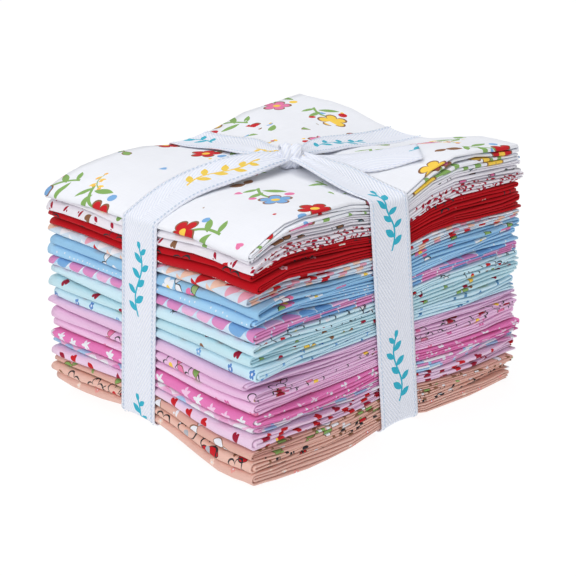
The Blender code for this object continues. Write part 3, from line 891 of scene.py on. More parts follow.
# White fat quarters
# The three whites on top: loose posies on the highest, pen drawings on the second, and short dark
# red brush strokes on the third. Each is one cut of cotton, folded and laid on the next.
ANY = 1.0
UPRIGHT = 0.012
WINE = (0.34, 0.008, 0.035)
make_quarter(0, "white_posy", -0.0008, -0.0006, 0.3, 1.0, 0.0037, WHITE, (
    (draw_dot, 0.0150, 0.22, 0.5, ANY, 0.0007, (SKY, SUN, RED)),
    (draw_heart, 0.0290, 0.42, 0.6, ANY, 0.0017, (RED, ROSE, SKY)),
    (draw_spray, 0.0360, 0.50, 0.3, ANY, 0.0115, (SUN, (0.88, 0.50, 0.10), RED)),
    (draw_leaf, 0.0330, 0.40, 0.5, ANY, 0.0060, (GRASS, BARK, BARK)),
    (draw_posy, 0.0290, 0.78, 0.22, ANY, 0.0112, (RED, SKY, ROSE, SUN)),
))
make_quarter(1, "white_line", 0.0010, 0.0004, -0.5, 1.2, 0.0025, (0.85, 0.83, 0.89), (
    (draw_dot, 0.0130, 0.45, 0.5, ANY, 0.0012, (BARK, RED, GRASS)),
    (draw_leaf, 0.0190, 0.55, 0.4, ANY, 0.0055, (BARK, ROSE, (0.30, 0.50, 0.55), INK)),
    (draw_line_flower, 0.0180, 0.70, 0.2, ANY, 0.0040, (SUN, RED, WHITE)),
))
make_quarter(2, "white_red_dash", 0.0004, -0.0008, 0.4, 1.1, 0.0040, (0.85, 0.81, 0.87), (
    (draw_heart, 0.0160, 0.45, 0.5, ANY, 0.0019, (RED, RED, BARK)),
    (draw_stroke, 0.0030, 0.74, 0.12, ANY, 0.0028, ((0.40, 0.008, 0.035),), 3.09),
))

# Red fat quarters and the bunting print
# Two deep reds with sparse small flowers, and one with rows of points in red, peach and white.
make_quarter(3, "red_cream", 0.0012, -0.0002, -0.3, 1.0, 0.0018, (0.51, 0.001, 0.008), (
    (draw_line_flower, 0.0200, 0.70, 0.5, ANY, 0.0060, (CREAM, SUN)),
    (draw_flower, 0.0120, 0.45, 0.5, ANY, 0.0020, (CREAM, CREAM, SUN)),
))
make_quarter(4, "red_floret", 0.0012, -0.0010, 0.5, 0.9, 0.0030, (0.49, 0.001, 0.008), (
    (draw_flower, 0.0090, 0.70, 0.5, ANY, 0.0015, (WHITE, (0.85, 0.55, 0.62), RED)),
))
APRICOT = (0.86, 0.58, 0.46)
make_quarter(5, "peach_bunting", 0.0006, 0.0006, -0.4, 1.1, 0.0038, (0.64, 0.76, 0.88), (
    (draw_point, 0.0078, 0.99, 0.0, 0.0, 0.0077, (APRICOT, RED, WHITE, (0.80, 0.38, 0.50))),
    (draw_point, 0.0078, 0.60, 0.0, 0.0, 0.0050, (WHITE, APRICOT, RED)),
))

# Blue fat quarters
# Two mid blues, one with leaves and buds and one with tiny dots, and a scallop print in blue,
# white and pink.
make_quarter(6, "blue_leaf", 0.0, -0.0012, 0.6, 1.0, 0.0038, (0.31, 0.57, 0.82), (
    (draw_flower, 0.0140, 0.45, 0.5, ANY, 0.0034, (ROSE, WHITE, SUN)),
    (draw_leaf, 0.0125, 0.55, 0.4, ANY, 0.0056, ((0.34, 0.52, 0.22), WHITE, GRASS, INK)),
))
make_quarter(7, "blue_dot", 0.0008, 0.0008, -0.2, 1.1, 0.0038, (0.38, 0.65, 0.90), (
    (draw_dot, 0.0026, 0.75, 0.5, ANY, 0.00030, (WHITE,)),
    (draw_stroke, 0.0120, 0.40, 0.4, ANY, 0.0028, (WHITE,)),
))
PALE_BLUE = (0.40, 0.62, 0.86)
MAGENTA = (0.74, 0.28, 0.56)
make_quarter(8, "blue_scallop", -0.0004, -0.0004, 0.2, 1.0, 0.0042, (0.62, 0.76, 0.90), (
    (draw_dot, 0.0078, 0.98, 0.0, 0.0, 0.0035, (WHITE, PALE_BLUE, WHITE)),
    (draw_dot, 0.00808, 0.98, 0.0, 0.0, 0.0038, (MAGENTA, SKY, (0.84, 0.48, 0.72), MAGENTA)),
))

# Aqua fat quarters
# Three pale aquas: sprigs with buds, small red berries, and tiny blue flowers.
AQUA = (0.63, 0.84, 0.93)
make_quarter(9, "aqua_sprig", 0.0004, -0.0010, -0.5, 1.0, 0.0040, AQUA, (
    (draw_leaf, 0.0150, 0.55, 0.4, ANY, 0.0058, (SKY, WHITE, RED, INK)),
    (draw_line_flower, 0.0145, 0.45, 0.4, ANY, 0.0040, (RED, SUN, WHITE)),
))
make_quarter(10, "aqua_berry", -0.0002, 0.0004, 0.4, 1.1, 0.0045, (0.56, 0.79, 0.87), (
    (draw_leaf, 0.0125, 0.45, 0.5, ANY, 0.0036, (SUN, GRASS, BARK)),
    (draw_heart, 0.0100, 0.65, 0.5, ANY, 0.0020, (RED, WINE)),
    (draw_dot, 0.0120, 0.45, 0.5, ANY, 0.0012, (BARK, WINE)),
))
make_quarter(11, "aqua_floret", 0.0010, -0.0006, 0.1, 0.9, 0.0022, (0.61, 0.82, 0.93), (
    (draw_leaf, 0.0085, 0.40, 0.5, ANY, 0.0020, ((0.08, 0.24, 0.45), SKY, SKY)),
    (draw_flower, 0.0085, 0.55, 0.5, ANY, 0.0013, (SKY, (0.10, 0.25, 0.60), WHITE)),
))

# Pink fat quarters
# Plain pink, pink with leaves, pink with tiny flowers, hot pink with white stars, a pastel
# scallop, and lilac pink with red hearts.
PINK = (0.81, 0.55, 0.77)
make_quarter(12, "pink_plain", -0.0006, 0.0012, -0.6, 1.0, 0.0052, PINK, ())
make_quarter(13, "pink_leaf", 0.0, -0.0008, 0.3, 1.0, 0.0028, (0.83, 0.54, 0.77), (
    (draw_line_flower, 0.0140, 0.50, 0.4, ANY, 0.0042, (ROSE, SUN)),
    (draw_leaf, 0.0125, 0.62, 0.4, ANY, 0.0056, (GRASS, ROSE, WINE, BARK)),
))
make_quarter(14, "pink_dot", 0.0012, 0.0002, -0.3, 1.1, 0.0026, (0.90, 0.58, 0.82), (
    (draw_flower, 0.0085, 0.60, 0.5, ANY, 0.0017, ((0.75, 0.16, 0.42), ROSE, WHITE)),
))
make_quarter(15, "hot_pink", -0.0008, -0.0012, 0.5, 0.9, 0.0052, (0.80, 0.21, 0.50), (
    (draw_star, 0.0072, 0.80, 0.25, ANY, 0.0024, ((0.90, 0.60, 0.80), WHITE)),
))
make_quarter(16, "pastel_scallop", 0.0010, 0.0006, -0.2, 1.0, 0.0044, (0.86, 0.54, 0.74), (
    (draw_dot, 0.0074, 0.98, 0.0, 0.0, 0.0033, (WHITE, PALE_BLUE, PINK)),
    (draw_dot, 0.0074, 0.85, 0.0, 0.0, 0.0030, ((0.80, 0.42, 0.66), PALE_BLUE, WHITE, MAGENTA)),
))
make_quarter(17, "lilac_bow", -0.0010, -0.0004, 0.4, 1.1, 0.0060, (0.84, 0.62, 0.80), (
    (draw_dot, 0.0075, 0.25, 0.5, ANY, 0.0005, (RED, SUN)),
    (draw_heart, 0.00793, 0.72, 0.12, ANY, 0.0019, (RED, WINE), 1.039),
))

# Peach fat quarters
# The four lowest: peach with green stems, with pen-line flowers, and with tiny pink flowers. The
# lowest one has the two crossing tapes pressed into it.
PEACH = (0.83, 0.52, 0.44)
make_quarter(18, "peach_stem", -0.0004, -0.0010, -0.5, 1.0, 0.0018, (0.76, 0.45, 0.38), (
    (draw_dot, 0.0150, 0.50, 0.5, ANY, 0.0030, (BARK, (0.40, 0.20, 0.09), WHITE)),
    (draw_leaf, 0.0125, 0.65, 0.4, ANY, 0.0062, (GRASS, WHITE, BARK)),
    (draw_heart, 0.0140, 0.60, 0.5, ANY, 0.0020, (RED, SUN)),
    (draw_stroke, 0.0036, 0.26, 0.12, ANY, 0.0032, (BARK, GRASS, WHITE, BARK), 2.79),
))
make_quarter(19, "peach_line", -0.0012, 0.0004, 0.3, 1.0, 0.0032, PEACH, (
    (draw_leaf, 0.0130, 0.60, 0.4, ANY, 0.0060, (WHITE, RED, INK)),
    (draw_line_flower, 0.0135, 0.80, 0.3, ANY, 0.0046, (RED, WHITE, (0.45, 0.47, 0.52))),
    (draw_stroke, 0.0034, 0.24, 0.12, ANY, 0.0030, (INK, WHITE, BARK, INK), 2.878),
))
make_quarter(20, "peach_floret", 0.0, -0.0006, -0.2, 1.0, 0.0008, (0.80, 0.50, 0.43), (
    (draw_flower, 0.0100, 0.50, 0.5, ANY, 0.0012, ((0.85, 0.35, 0.32), (0.93, 0.72, 0.62), WHITE)),
))


# Woven tape
# White cotton tape, 19 mm wide, woven in one herringbone and stitched in pale blue along both
# edges. It goes twice round the bundle, crosses itself underneath and is knotted on top, where it
# is gathered into lengthwise folds.
TAPE_WIDTH = 0.01905
TAPE_THICKNESS = 0.00036
TAPE_CLEARANCE = 0.00045
TOP_CLEARANCE = 0.00040
TAPE_REST = 0.00015
CROSSING_REACH = 0.014
CORNER_RADIUS = 0.00095
FOLD_CORNER_RADIUS = 0.00230
SHOULDER_RADIUS = 0.00190
PATH_STEP = 0.0016
TAPE_COLUMNS = 20
LIMP_RISE = 0.0010
DRAPE_FADE = 0.010
GATHER_DEPTH = 0.0023
GATHER_FOLDS = 3.0
GATHER_PHASE = 0.4
GATHER_SWAY = 0.8
GATHER_SWAYS = 160.0
MAP_SEAM_SHARE = 0.42
STITCH_PROUD = 0.00002
STITCH_PITCH = 0.0017
STITCH_THREAD = 0.00030
SEAM_BLUE = (0.58, 0.70, 0.82)
KNOT_LENGTH = 0.06
KNOT_X = -0.0045
KNOT_Y = -0.0115
# columns: distance along the loop's axis, sideways place, half width, rise over the cloth, tilt
HALF = TAPE_WIDTH / 2
LOOP_A_TOP = (
    (-0.0665, -0.0005, HALF, 0.0000, 0.0000), (-0.0520, -0.0006, HALF, 0.0006, 0.0003),
    (-0.0360, -0.0028, 0.0092, 0.0024, 0.0012), (-0.0230, -0.0066, 0.0080, 0.0042, 0.0018),
    (-0.0140, -0.0096, 0.0054, 0.0044, 0.0010), (-0.0045, -0.0115, 0.0036, 0.0036, 0.0000),
    (0.0060, -0.0088, 0.0048, 0.0020, 0.0000), (0.0160, -0.0045, 0.0080, 0.0007, 0.0000),
    (0.0300, -0.0018, HALF, 0.0002, 0.0000), (0.0665, -0.0010, HALF, 0.0000, 0.0000),
)
LOOP_B_TOP = (
    (-0.0570, -0.0011, HALF, 0.0000, 0.0000), (-0.0450, -0.0014, HALF, 0.0005, 0.0000),
    (-0.0320, -0.0022, 0.0086, 0.0018, 0.0000), (-0.0220, -0.0036, 0.0062, 0.0030, 0.0000),
    (-0.0115, -0.0045, 0.0036, 0.0036, 0.0000), (-0.0010, -0.0036, 0.0046, 0.0020, 0.0000),
    (0.0100, -0.0016, 0.0074, 0.0008, 0.0000), (0.0220, 0.0008, 0.0092, 0.0003, 0.0000),
    (0.0410, 0.0030, HALF, 0.0001, 0.0000), (0.0570, 0.0040, HALF, 0.0000, 0.0000),
)


def smoothed(values, times):
    for _ in range(times):
        inner = values[1:-1] * 0.5 + (values[:-2] + values[2:]) * 0.25
        values = np.concatenate((values[:1], inner, values[-1:]))
    return values


def cloth_level(axis, along, sideways, half_width, share):
    """Highest or lowest cloth across the tape's width at each place along it."""
    levels = []
    for step in np.linspace(-1.0, 1.0, 9):
        other = sideways + half_width * step
        place = (along, other) if axis == "x" else (other, along)
        levels.append(stack_height(*place, share + 0.0 * along))
    return np.max(levels, axis=0) if share > 0.5 else np.min(levels, axis=0)


def join_rings(mesh, cloth, rings, columns, flat_place):
    """Faces between each ring and the next, and from the last to the first."""
    for row, ring in enumerate(rings):
        following = rings[(row + 1) % len(rings)]
        for column in range(columns):
            other = (column + 1) % len(ring)
            face = mesh.faces.new((ring[column], ring[other], following[other], following[column]))
            for loop, (down, aside) in zip(face.loops, ((0, 0), (0, 1), (1, 1), (1, 0))):
                loop[cloth].uv = flat_place(row + down, column + aside)


def finished(mesh, name):
    data = bpy.data.meshes.new(name)
    mesh.to_mesh(data)
    mesh.free()
    return data


def loop_path(axis, course, bottom_side):
    """Rows round the stack, on the tape's inner face.

    A row is along, level, sideways, half width, how closely the tape follows the cloth's shape
    across its width, on top and underneath, and its tilt.
    """
    half = WIDTH / 2 if axis == "x" else DEPTH / 2
    out = half + TAPE_CLEARANCE
    table = np.array(course)
    start_radius = FOLD_CORNER_RADIUS if axis == "x" else SHOULDER_RADIUS
    start, end = start_radius - out, out - CORNER_RADIUS
    along = np.linspace(start, end, int((end - start) / PATH_STEP))
    sideways = smoothed(np.interp(along, table[:, 0], table[:, 1]), 6)
    half_width = smoothed(np.interp(along, table[:, 0], table[:, 2]), 6)
    rise = smoothed(np.interp(along, table[:, 0], table[:, 3]), 6)
    tilt = smoothed(np.interp(along, table[:, 0], table[:, 4]), 6)
    inside = np.clip(along, -half, half)
    top = cloth_level(axis, inside, sideways, half_width, 1.0) + TOP_CLEARANCE + rise
    full = 0.0 * along + TAPE_WIDTH / 2
    low_side = 0.0 * along + bottom_side
    under = cloth_level(axis, inside, low_side, full, 0.0) - TAPE_CLEARANCE
    under = np.maximum(smoothed(under, 2), TAPE_REST + TAPE_THICKNESS)
    if axis == "x":
        over_other = np.clip(1.0 - np.abs(along - BOTTOM_BAND_X) / CROSSING_REACH, 0.0, 1.0)
        under = under + TAPE_THICKNESS * 1.3 * np.clip(over_other * 2.5, 0.0, 1.0)
    limp = 1.0 / (1.0 + rise / LIMP_RISE)
    none = 0.0 * along
    rows = list(zip(along, top, sideways, half_width, limp, none, tilt))

    def arc(centre_along, centre_level, radius, first, last, side, above):
        for step in range(1, 7):
            angle = math.radians(first + (last - first) * step / 7)
            rows.append((
                centre_along + radius * math.cos(angle),
                centre_level + radius * math.sin(angle),
                side, TAPE_WIDTH / 2, above, 1.0 - above, 0.0,
            ))

    def face(end, high, low, high_side, last_side):
        steps = int(abs(high - low) / (2 * PATH_STEP))
        for step in range(steps + 1):
            share = step / steps
            side = high_side + (last_side - high_side) * share
            level = high + (low - high) * share
            above = max(0.0, 1.0 - (max(high, low) - level) / DRAPE_FADE)
            below = max(0.0, 1.0 - (level - min(high, low)) / DRAPE_FADE)
            rows.append((end * out, level, side, TAPE_WIDTH / 2, above, below, 0.0))

    high, low = top[-1] - CORNER_RADIUS, under[-1] + CORNER_RADIUS
    arc(end, high, CORNER_RADIUS, 90, 0, sideways[-1], 1.0)
    face(1, high, low, sideways[-1], bottom_side)
    arc(end, low, CORNER_RADIUS, 0, -90, bottom_side, 0.0)
    rows.extend(zip(along[::-1], under[::-1], low_side, full, none, none + 1.0, none))
    high, low = top[0] - start_radius, under[0] + start_radius
    arc(start, low, start_radius, 270, 180, bottom_side, 0.0)
    face(-1, low, high, bottom_side, sideways[0])
    arc(start, high, start_radius, 180, 90, sideways[0], 1.0)
    return np.array(rows)


def weave_loop(name, axis, course, bottom_side, lift, print_start):
    """Closed loop of tape, and the two lines that its edges are stitched along.

    The UV map is the place along and across the tape in metres, from print_start at the top edge
    that the course starts on. The map's own seam lies underneath.
    """
    rows = loop_path(axis, course, bottom_side)
    turned_in = int(len(rows) * MAP_SEAM_SHARE)
    rows = np.roll(rows, turned_in, axis=0)
    before = np.roll(rows[:, :2], 1, axis=0)
    after = np.roll(rows[:, :2], -1, axis=0)
    heading = after - before
    heading /= np.hypot(heading[:, 0], heading[:, 1])[:, None]
    normal = np.stack((-heading[:, 1], heading[:, 0]), axis=-1)
    steps = np.hypot(*(after - rows[:, :2]).T)
    travelled = np.concatenate(([0.0], np.cumsum(steps)))
    length = travelled[-1]
    travelled = travelled - travelled[turned_in] + print_start
    mesh = bmesh.new()
    cloth = mesh.loops.layers.uv.new("cloth")
    across = np.linspace(-1.0, 1.0, TAPE_COLUMNS + 1)
    half = WIDTH / 2 if axis == "x" else DEPTH / 2
    inside = np.clip(rows[:, 0], -half, half)[:, None] + 0.0 * across
    others = rows[:, 2][:, None] + rows[:, 3][:, None] * across
    places = (inside, others) if axis == "x" else (others, inside)
    over = stack_height(*places, 1.0 + 0.0 * others)
    beneath = stack_height(*places, 0.0 * others)
    drape = (over - over.max(axis=1, keepdims=True)) * rows[:, 4][:, None]
    drape = drape + (beneath - beneath.min(axis=1, keepdims=True)) * rows[:, 5][:, None]
    rings = []
    seams = [[], []]
    for index, (along, level, sideways, half_width, _, _, tilt) in enumerate(rows):
        narrowing = 1.0 - half_width / (TAPE_WIDTH / 2)
        ring = []
        for column, side in enumerate(across):
            phase = math.pi * GATHER_FOLDS * (side + 1.0) + GATHER_PHASE
            fold = 0.5 - 0.5 * math.cos(phase + GATHER_SWAY * math.sin(along * GATHER_SWAYS))
            offset = lift + GATHER_DEPTH * narrowing * fold
            place = along + normal[index, 0] * offset
            height = level + normal[index, 1] * offset + drape[index, column] + tilt * side
            other = sideways + side * half_width
            co = (place, other, height) if axis == "x" else (other, place, height)
            ring.append(mesh.verts.new(co))
        rings.append(ring)
        outward = normal[index] * (TAPE_THICKNESS + STITCH_PROUD)
        outward = (outward[0], 0.0, outward[1]) if axis == "x" else (0.0, *outward)
        for seam, (first, second) in zip(seams, ((1, 2), (-2, -3))):
            middle = (ring[first].co + ring[second].co) / 2
            seam.append(tuple(middle + Vector(outward)))
    join_rings(
        mesh, cloth, rings, TAPE_COLUMNS,
        lambda row, column: (travelled[row], across[column] * TAPE_WIDTH / 2))
    return finished(mesh, name), length, seams


# Free end of the tape
# The end that is left over past the knot. It lies flat on the top fat quarter, still gathered
# where it leaves the knot.
FREE_END_TURN = math.radians(-40.0)
# columns: distance from the knot, half width, rise over the cloth
FREE_END = (
    (0.000, 0.0036, 0.0030), (0.008, 0.0050, 0.0014), (0.017, 0.0074, 0.0005),
    (0.028, 0.0090, 0.0002), (0.038, 0.0094, 0.0002), (0.047, 0.0094, 0.0003),
)
FREE_END_STEPS = 30
FREE_END_PRINT = 0.018
FREE_END_PHASE = 0.6


def weave_free_end():
    """Loose end of the tape, lying flat beyond the knot."""
    table = np.array(FREE_END)
    distance = np.linspace(0.0, table[-1, 0], FREE_END_STEPS + 1)
    half_width = smoothed(np.interp(distance, table[:, 0], table[:, 1]), 3)
    rise = smoothed(np.interp(distance, table[:, 0], table[:, 2]), 3)
    along_x, along_y = math.cos(FREE_END_TURN), math.sin(FREE_END_TURN)
    across = np.linspace(-1.0, 1.0, TAPE_COLUMNS + 1)
    side = across[None, :] * half_width[:, None]
    x = KNOT_X + along_x * distance[:, None] - along_y * side
    y = KNOT_Y + along_y * distance[:, None] + along_x * side
    narrowing = 1.0 - half_width[:, None] / (TAPE_WIDTH / 2)
    phase = math.pi * GATHER_FOLDS * (across[None, :] + 1.0)
    fold = 0.5 - 0.5 * np.cos(phase + FREE_END_PHASE)
    z = stack_height(x, y, 1.0 + 0.0 * x) + TOP_CLEARANCE + rise[:, None]
    z = z + GATHER_DEPTH * narrowing * fold
    flat_along = distance[:, None] + FREE_END_PRINT
    flat_across = across[None, :] * TAPE_WIDTH / 2
    return lay_cloth("free_end", x, y, z, flat_along, flat_across, (0, 3, 2, 1))


# Knot
# The same tape pulled tight on top: a gathered body that lies aslant over the crossing, and two
# turns of pleated tape round it.
KNOT_RISE = 0.0041
KNOT_TURN = math.radians(-43.0)
KNOT_BODY = (0.0052, 0.0044, 0.0034)
KNOT_CREASES = 7
KNOT_CREASE_DEPTH = 0.09
# columns: place along the knot, lean in degrees, half width, radius across, radius up
KNOT_WRAPS = (
    (-0.0020, -7.0, 0.0021, 0.0047, 0.0039),
    (0.0019, 6.0, 0.0019, 0.0045, 0.0037),
)
WRAP_THICKNESS = 0.0009
WRAP_CREASES = 5.0
WRAP_CREASE_DEPTH = 0.22
WRAP_SWELL = 0.14
WRAP_PLEAT_SWAY = 0.9
WRAP_SWELL_TURN = 900.0
WRAP_MAP_START = 0.034
WRAP_MAP_STEP = 0.0005
WRAP_STEPS = 48
WRAP_SECTION_STEPS = 20


def knot_place(along, across, up):
    """Place in the frame of a point in the knot, which lies aslant over the crossing."""
    level = float(stack_height(np.array(KNOT_X), np.array(KNOT_Y), np.array(1.0)))
    cosine, sine = math.cos(KNOT_TURN), math.sin(KNOT_TURN)
    return (
        KNOT_X + along * cosine - across * sine,
        KNOT_Y + along * sine + across * cosine,
        level + KNOT_RISE + up,
    )


def shape_knot_body():
    """Gathered tape that passes through the knot."""
    mesh = bmesh.new()
    cloth = mesh.loops.layers.uv.new("cloth")
    bmesh.ops.create_uvsphere(mesh, u_segments=40, v_segments=24, radius=1.0, calc_uvs=False)
    for vertex in mesh.verts:
        up, across, along = vertex.co
        turn = math.atan2(up, across)
        crease = 1.0 + KNOT_CREASE_DEPTH * math.sin(KNOT_CREASES * turn + 2.0 * along)
        vertex.co = knot_place(
            along * KNOT_BODY[0], across * crease * KNOT_BODY[1], up * crease * KNOT_BODY[2])
    for face in mesh.faces:
        for loop in face.loops:
            x, y, z = loop.vert.co
            loop[cloth].uv = (0.04 + x * 0.3, y + z)
    return finished(mesh, "knot_body")


def shape_knot_wraps():
    """Two turns of gathered tape round the knot's body."""
    mesh = bmesh.new()
    cloth = mesh.loops.layers.uv.new("cloth")
    for offset, lean, half_width, radius_across, radius_up in KNOT_WRAPS:
        rings = []
        for turn in np.linspace(0.0, 2.0 * math.pi, WRAP_STEPS, endpoint=False):
            ring = []
            for angle in np.linspace(0.0, 2.0 * math.pi, WRAP_SECTION_STEPS, endpoint=False):
                pleat = math.sin(WRAP_CREASES * angle + WRAP_PLEAT_SWAY * math.sin(turn))
                crease = 1.0 + WRAP_CREASE_DEPTH * pleat
                swell = math.cos(2.0 * turn + offset * WRAP_SWELL_TURN)
                width = half_width * (1.0 + WRAP_SWELL * swell)
                proud = WRAP_THICKNESS * math.sin(angle) * crease
                across = (radius_across + proud) * math.cos(turn)
                up = (radius_up + proud) * math.sin(turn)
                along = offset + width * math.cos(angle) + math.tan(math.radians(lean)) * across
                ring.append(mesh.verts.new(knot_place(along, across, up)))
            rings.append(ring)
        join_rings(
            mesh, cloth, rings, WRAP_SECTION_STEPS,
            lambda row, column: (WRAP_MAP_START + row * WRAP_MAP_STEP, column * WRAP_MAP_STEP))
    bmesh.ops.recalc_face_normals(mesh, faces=mesh.faces)
    return finished(mesh, "knot_wraps")


# Weave and print of the tape
# White cotton in one herringbone, with slanted ribs that meet in the middle, a stitched line near
# each edge, and a small leaf vine printed over and over along it. The valleys between the ribs are
# painted with shade, a darker bluish copy of the tape's white; the stitched lines use the same
# colour.
TAPE_WHITE = (0.855, 0.88, 0.955)
# painted shade of the tape, for the valleys of the twill; the stitched lines are drawn in it too
TAPE_PAINTED_SHADE_AND_STITCH = (0.62, 0.67, 0.84)
TAPE_PRINT = (0.02, 0.44, 0.60)
TAPE_SECOND_PRINT = (0.86, 0.60, 0.08)
TAPE_PITCH = 0.0005
TAPE_FINISH = (0.8, 0.00008, 1.1, 0.3, 0.1)
TWILL_PITCH = 0.0021
TWILL_SLOPE = 1.65
# how much painted shade the twill valleys get
TWILL_PAINTED_SHADE = 0.45
SEAM_PLACE = 0.0081
SEAM_HALF = 0.00028
SEAM_SHADE = 0.55
PRINT_PERIOD = 0.060
PRINT_LENGTH = 0.030
PRINTS_BEFORE = 30
# columns: place along and across the tape, turn in degrees, length
VINE_LEAVES = (
    (0.0030, 0.0010, 55, 0.0052), (0.0060, 0.0016, -50, 0.0056), (0.0095, 0.0016, 52, 0.0050),
    (0.0125, 0.0006, -48, 0.0052), (0.0160, -0.0008, 54, 0.0054), (0.0190, -0.0017, -50, 0.0048),
    (0.0220, -0.0015, 50, 0.0052), (0.0250, -0.0008, -46, 0.0042), (0.0268, -0.0003, 12, 0.0040),
)
VINE_STEMS = ((0.001, 0.13), (0.0145, -0.13))
VINE_STEM_LENGTH = 0.0135


def print_vine(tree, colour, along, across):
    """Short leaf vine, printed again and again along the tape, every third one in gold."""
    from_start = calc(tree, "ADD", along, PRINTS_BEFORE * PRINT_PERIOD)
    repeat = calc(tree, "MODULO", from_start, PRINT_PERIOD)
    shown = calc(tree, "LESS_THAN", repeat, PRINT_LENGTH)
    print_number = calc(tree, "FLOOR", calc(tree, "DIVIDE", from_start, PRINT_PERIOD))
    third = calc(tree, "GREATER_THAN", calc(tree, "MODULO", print_number, 3.0), 1.5)
    ink = paint(tree, third, TAPE_PRINT, TAPE_SECOND_PRINT)
    local = tree.nodes.new("ShaderNodeCombineXYZ")
    tree.links.new(repeat, local.inputs[0])
    tree.links.new(across, local.inputs[1])
    vine = Mark(tree, colour, local.outputs[0], shown, shown, 1.0, (ink,))
    for start, bend in VINE_STEMS:
        stem = vine.shape(STROKE, start, 0.0, 0.0, VINE_STEM_LENGTH, Bend=bend, Width=0.030)
        vine.ink(stem["Stroke"], ink)
    for leaf in VINE_LEAVES:
        vine.ink(vine.shape(LEAF, *leaf, Width=0.24)["Leaf"], ink)
    return vine.colour


def weave_tape_material():
    tape = bpy.data.materials.new("tape_cotton")
    tape.use_nodes = True
    tree = tape.node_tree
    along, across, _ = split(tree, cloth_place(tree))
    off_middle = calc(tree, "ABSOLUTE", across)
    slanted = calc(tree, "MULTIPLY_ADD", off_middle, -TWILL_SLOPE, along)
    twill = calc(tree, "SINE", calc(tree, "MULTIPLY", slanted, 2.0 * math.pi / TWILL_PITCH))
    # painted shade in the valleys between the twill ribs
    painted_twill_shade = calc(tree, "MULTIPLY", calc(tree, "LESS_THAN", twill, -0.25), TWILL_PAINTED_SHADE)
    colour = paint(tree, painted_twill_shade, TAPE_WHITE, TAPE_PAINTED_SHADE_AND_STITCH)
    off_seam = calc(tree, "ABSOLUTE", calc(tree, "SUBTRACT", off_middle, SEAM_PLACE))
    seam = calc(tree, "MULTIPLY", calc(tree, "LESS_THAN", off_seam, SEAM_HALF), SEAM_SHADE)
    beat = calc(tree, "SINE", calc(tree, "MULTIPLY", along, 2.0 * math.pi / STITCH_PITCH))
    dashes = calc(tree, "MULTIPLY", calc(tree, "GREATER_THAN", beat, -0.2), seam)
    colour = print_vine(tree, paint(tree, dashes, colour, TAPE_PAINTED_SHADE_AND_STITCH), along, across)
    weave = use_group(tree, WEAVE, Pitch=TAPE_PITCH)
    relief = calc(tree, "MULTIPLY_ADD", weave["Height"], 0.25, twill)
    finish_cloth(tree, colour, weave, relief, TAPE_FINISH)
    return tape


def tie_tape():
    """The whole tape as one piece, and the lines along which its edges are stitched."""
    loop_a, length_a, seams_a = weave_loop("loop_a", "x", LOOP_A_TOP, BOTTOM_BAND_Y, 0.0, 0.101)
    loop_b, length_b, seams_b = weave_loop("loop_b", "y", LOOP_B_TOP, BOTTOM_BAND_X, 0.0001, 0.083)
    ribbons = bmesh.new()
    for data in (loop_a, loop_b, weave_free_end()):
        ribbons.from_mesh(data)
    mesh = bpy.data.meshes.new("tape_ribbons")
    ribbons.to_mesh(mesh)
    ribbons.free()
    tape = place_object("woven_tape", mesh)
    wall = tape.modifiers.new("cloth", "SOLIDIFY")
    wall.thickness = TAPE_THICKNESS
    wall.offset = 1.0
    graph = bpy.context.evaluated_depsgraph_get()
    whole = bmesh.new()
    whole.from_mesh(bpy.data.meshes.new_from_object(tape.evaluated_get(graph)))
    tape.modifiers.clear()
    for data in (shape_knot_body(), shape_knot_wraps()):
        whole.from_mesh(data)
    whole.to_mesh(mesh)
    whole.free()
    mesh.shade_smooth()
    mesh.materials.append(weave_tape_material())
    length = length_a + length_b + FREE_END[-1][0] + KNOT_LENGTH
    return tape, length, seams_a + seams_b


# Stitches along the tape
# Pale blue cotton thread, sewn in one line of short stitches along each edge of the tape, a
# little proud of its face.
STITCH_SHARE = 0.72
STITCH_SIDES = 6
STITCH_RINGS = 4


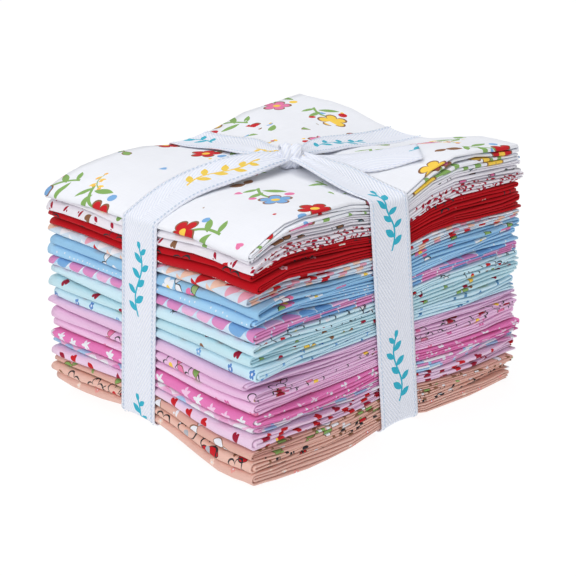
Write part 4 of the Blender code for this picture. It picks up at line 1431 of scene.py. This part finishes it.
def stitch_tree(thread):
    """Geometry node tree that sets one rounded stitch after another along each line."""
    tree = bpy.data.node_groups.new("edge_stitches", "GeometryNodeTree")
    face = tree.interface
    face.new_socket("Geometry", in_out="INPUT", socket_type="NodeSocketGeometry")
    pitch = face.new_socket("Pitch", in_out="INPUT", socket_type="NodeSocketFloat")
    thickness = face.new_socket("Thread", in_out="INPUT", socket_type="NodeSocketFloat")
    face.new_socket("Geometry", in_out="OUTPUT", socket_type="NodeSocketGeometry")
    pitch.default_value = STITCH_PITCH
    thickness.default_value = STITCH_THREAD
    start = tree.nodes.new("NodeGroupInput").outputs
    end = tree.nodes.new("NodeGroupOutput").inputs
    line = tree.nodes.new("GeometryNodeMeshToCurve")
    points = tree.nodes.new("GeometryNodeCurveToPoints")
    points.mode = "LENGTH"
    bead = tree.nodes.new("GeometryNodeMeshUVSphere")
    bead.inputs["Segments"].default_value = STITCH_SIDES
    bead.inputs["Rings"].default_value = STITCH_RINGS
    bead.inputs["Radius"].default_value = 0.5
    size = tree.nodes.new("ShaderNodeCombineXYZ")
    long = tree.nodes.new("ShaderNodeMath")
    long.operation = "MULTIPLY"
    long.inputs[1].default_value = STITCH_SHARE
    place = tree.nodes.new("GeometryNodeInstanceOnPoints")
    real = tree.nodes.new("GeometryNodeRealizeInstances")
    colour = tree.nodes.new("GeometryNodeSetMaterial")
    colour.inputs["Material"].default_value = thread
    links = (
        (start["Geometry"], line.inputs[0]), (line.outputs[0], points.inputs[0]),
        (start["Pitch"], points.inputs["Length"]), (start["Pitch"], long.inputs[0]),
        (start["Thread"], size.inputs[0]), (start["Thread"], size.inputs[1]),
        (long.outputs[0], size.inputs[2]), (points.outputs["Points"], place.inputs["Points"]),
        (bead.outputs["Mesh"], place.inputs["Instance"]),
        (points.outputs["Rotation"], place.inputs["Rotation"]),
        (size.outputs[0], place.inputs["Scale"]), (place.outputs[0], real.inputs[0]),
        (real.outputs[0], colour.inputs["Geometry"]), (colour.outputs[0], end["Geometry"]),
    )
    for output, socket in links:
        tree.links.new(output, socket)
    return tree, pitch.identifier, thickness.identifier


def stitch_edges(seams):
    """Rounded stitches along both edges of the tape, as a mesh of their own."""
    corners, edges = [], []
    for seam in seams:
        first = len(corners)
        corners.extend(seam)
        edges.extend((first + step, first + (step + 1) % len(seam)) for step in range(len(seam)))
    lines = bpy.data.meshes.new("seam_lines")
    lines.from_pydata(corners, edges, [])
    stitches = place_object("tape_stitches", lines)
    thread = bpy.data.materials.new("seam_thread")
    thread.use_nodes = True
    shader = thread.node_tree.nodes["Principled BSDF"]
    shader.inputs["Base Color"].default_value = (*SEAM_BLUE, 1.0)
    shader.inputs["Roughness"].default_value = 0.85
    shader.inputs["Specular IOR Level"].default_value = 0.25
    tree, pitch, thickness = stitch_tree(thread)
    sewing = stitches.modifiers.new("sewing", "NODES")
    sewing.node_group = tree
    sewing[pitch] = STITCH_PITCH
    sewing[thickness] = STITCH_THREAD
    graph = bpy.context.evaluated_depsgraph_get()
    sewn = bpy.data.meshes.new_from_object(stitches.evaluated_get(graph))
    stitches.modifiers.clear()
    stitches.data = sewn
    sewn.shade_smooth()
    return stitches


tape, tape_length, tape_seams = tie_tape()
tape_stitches = stitch_edges(tape_seams)
for piece in (tape, tape_stitches):
    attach(piece, "root")
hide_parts("tape_tie")
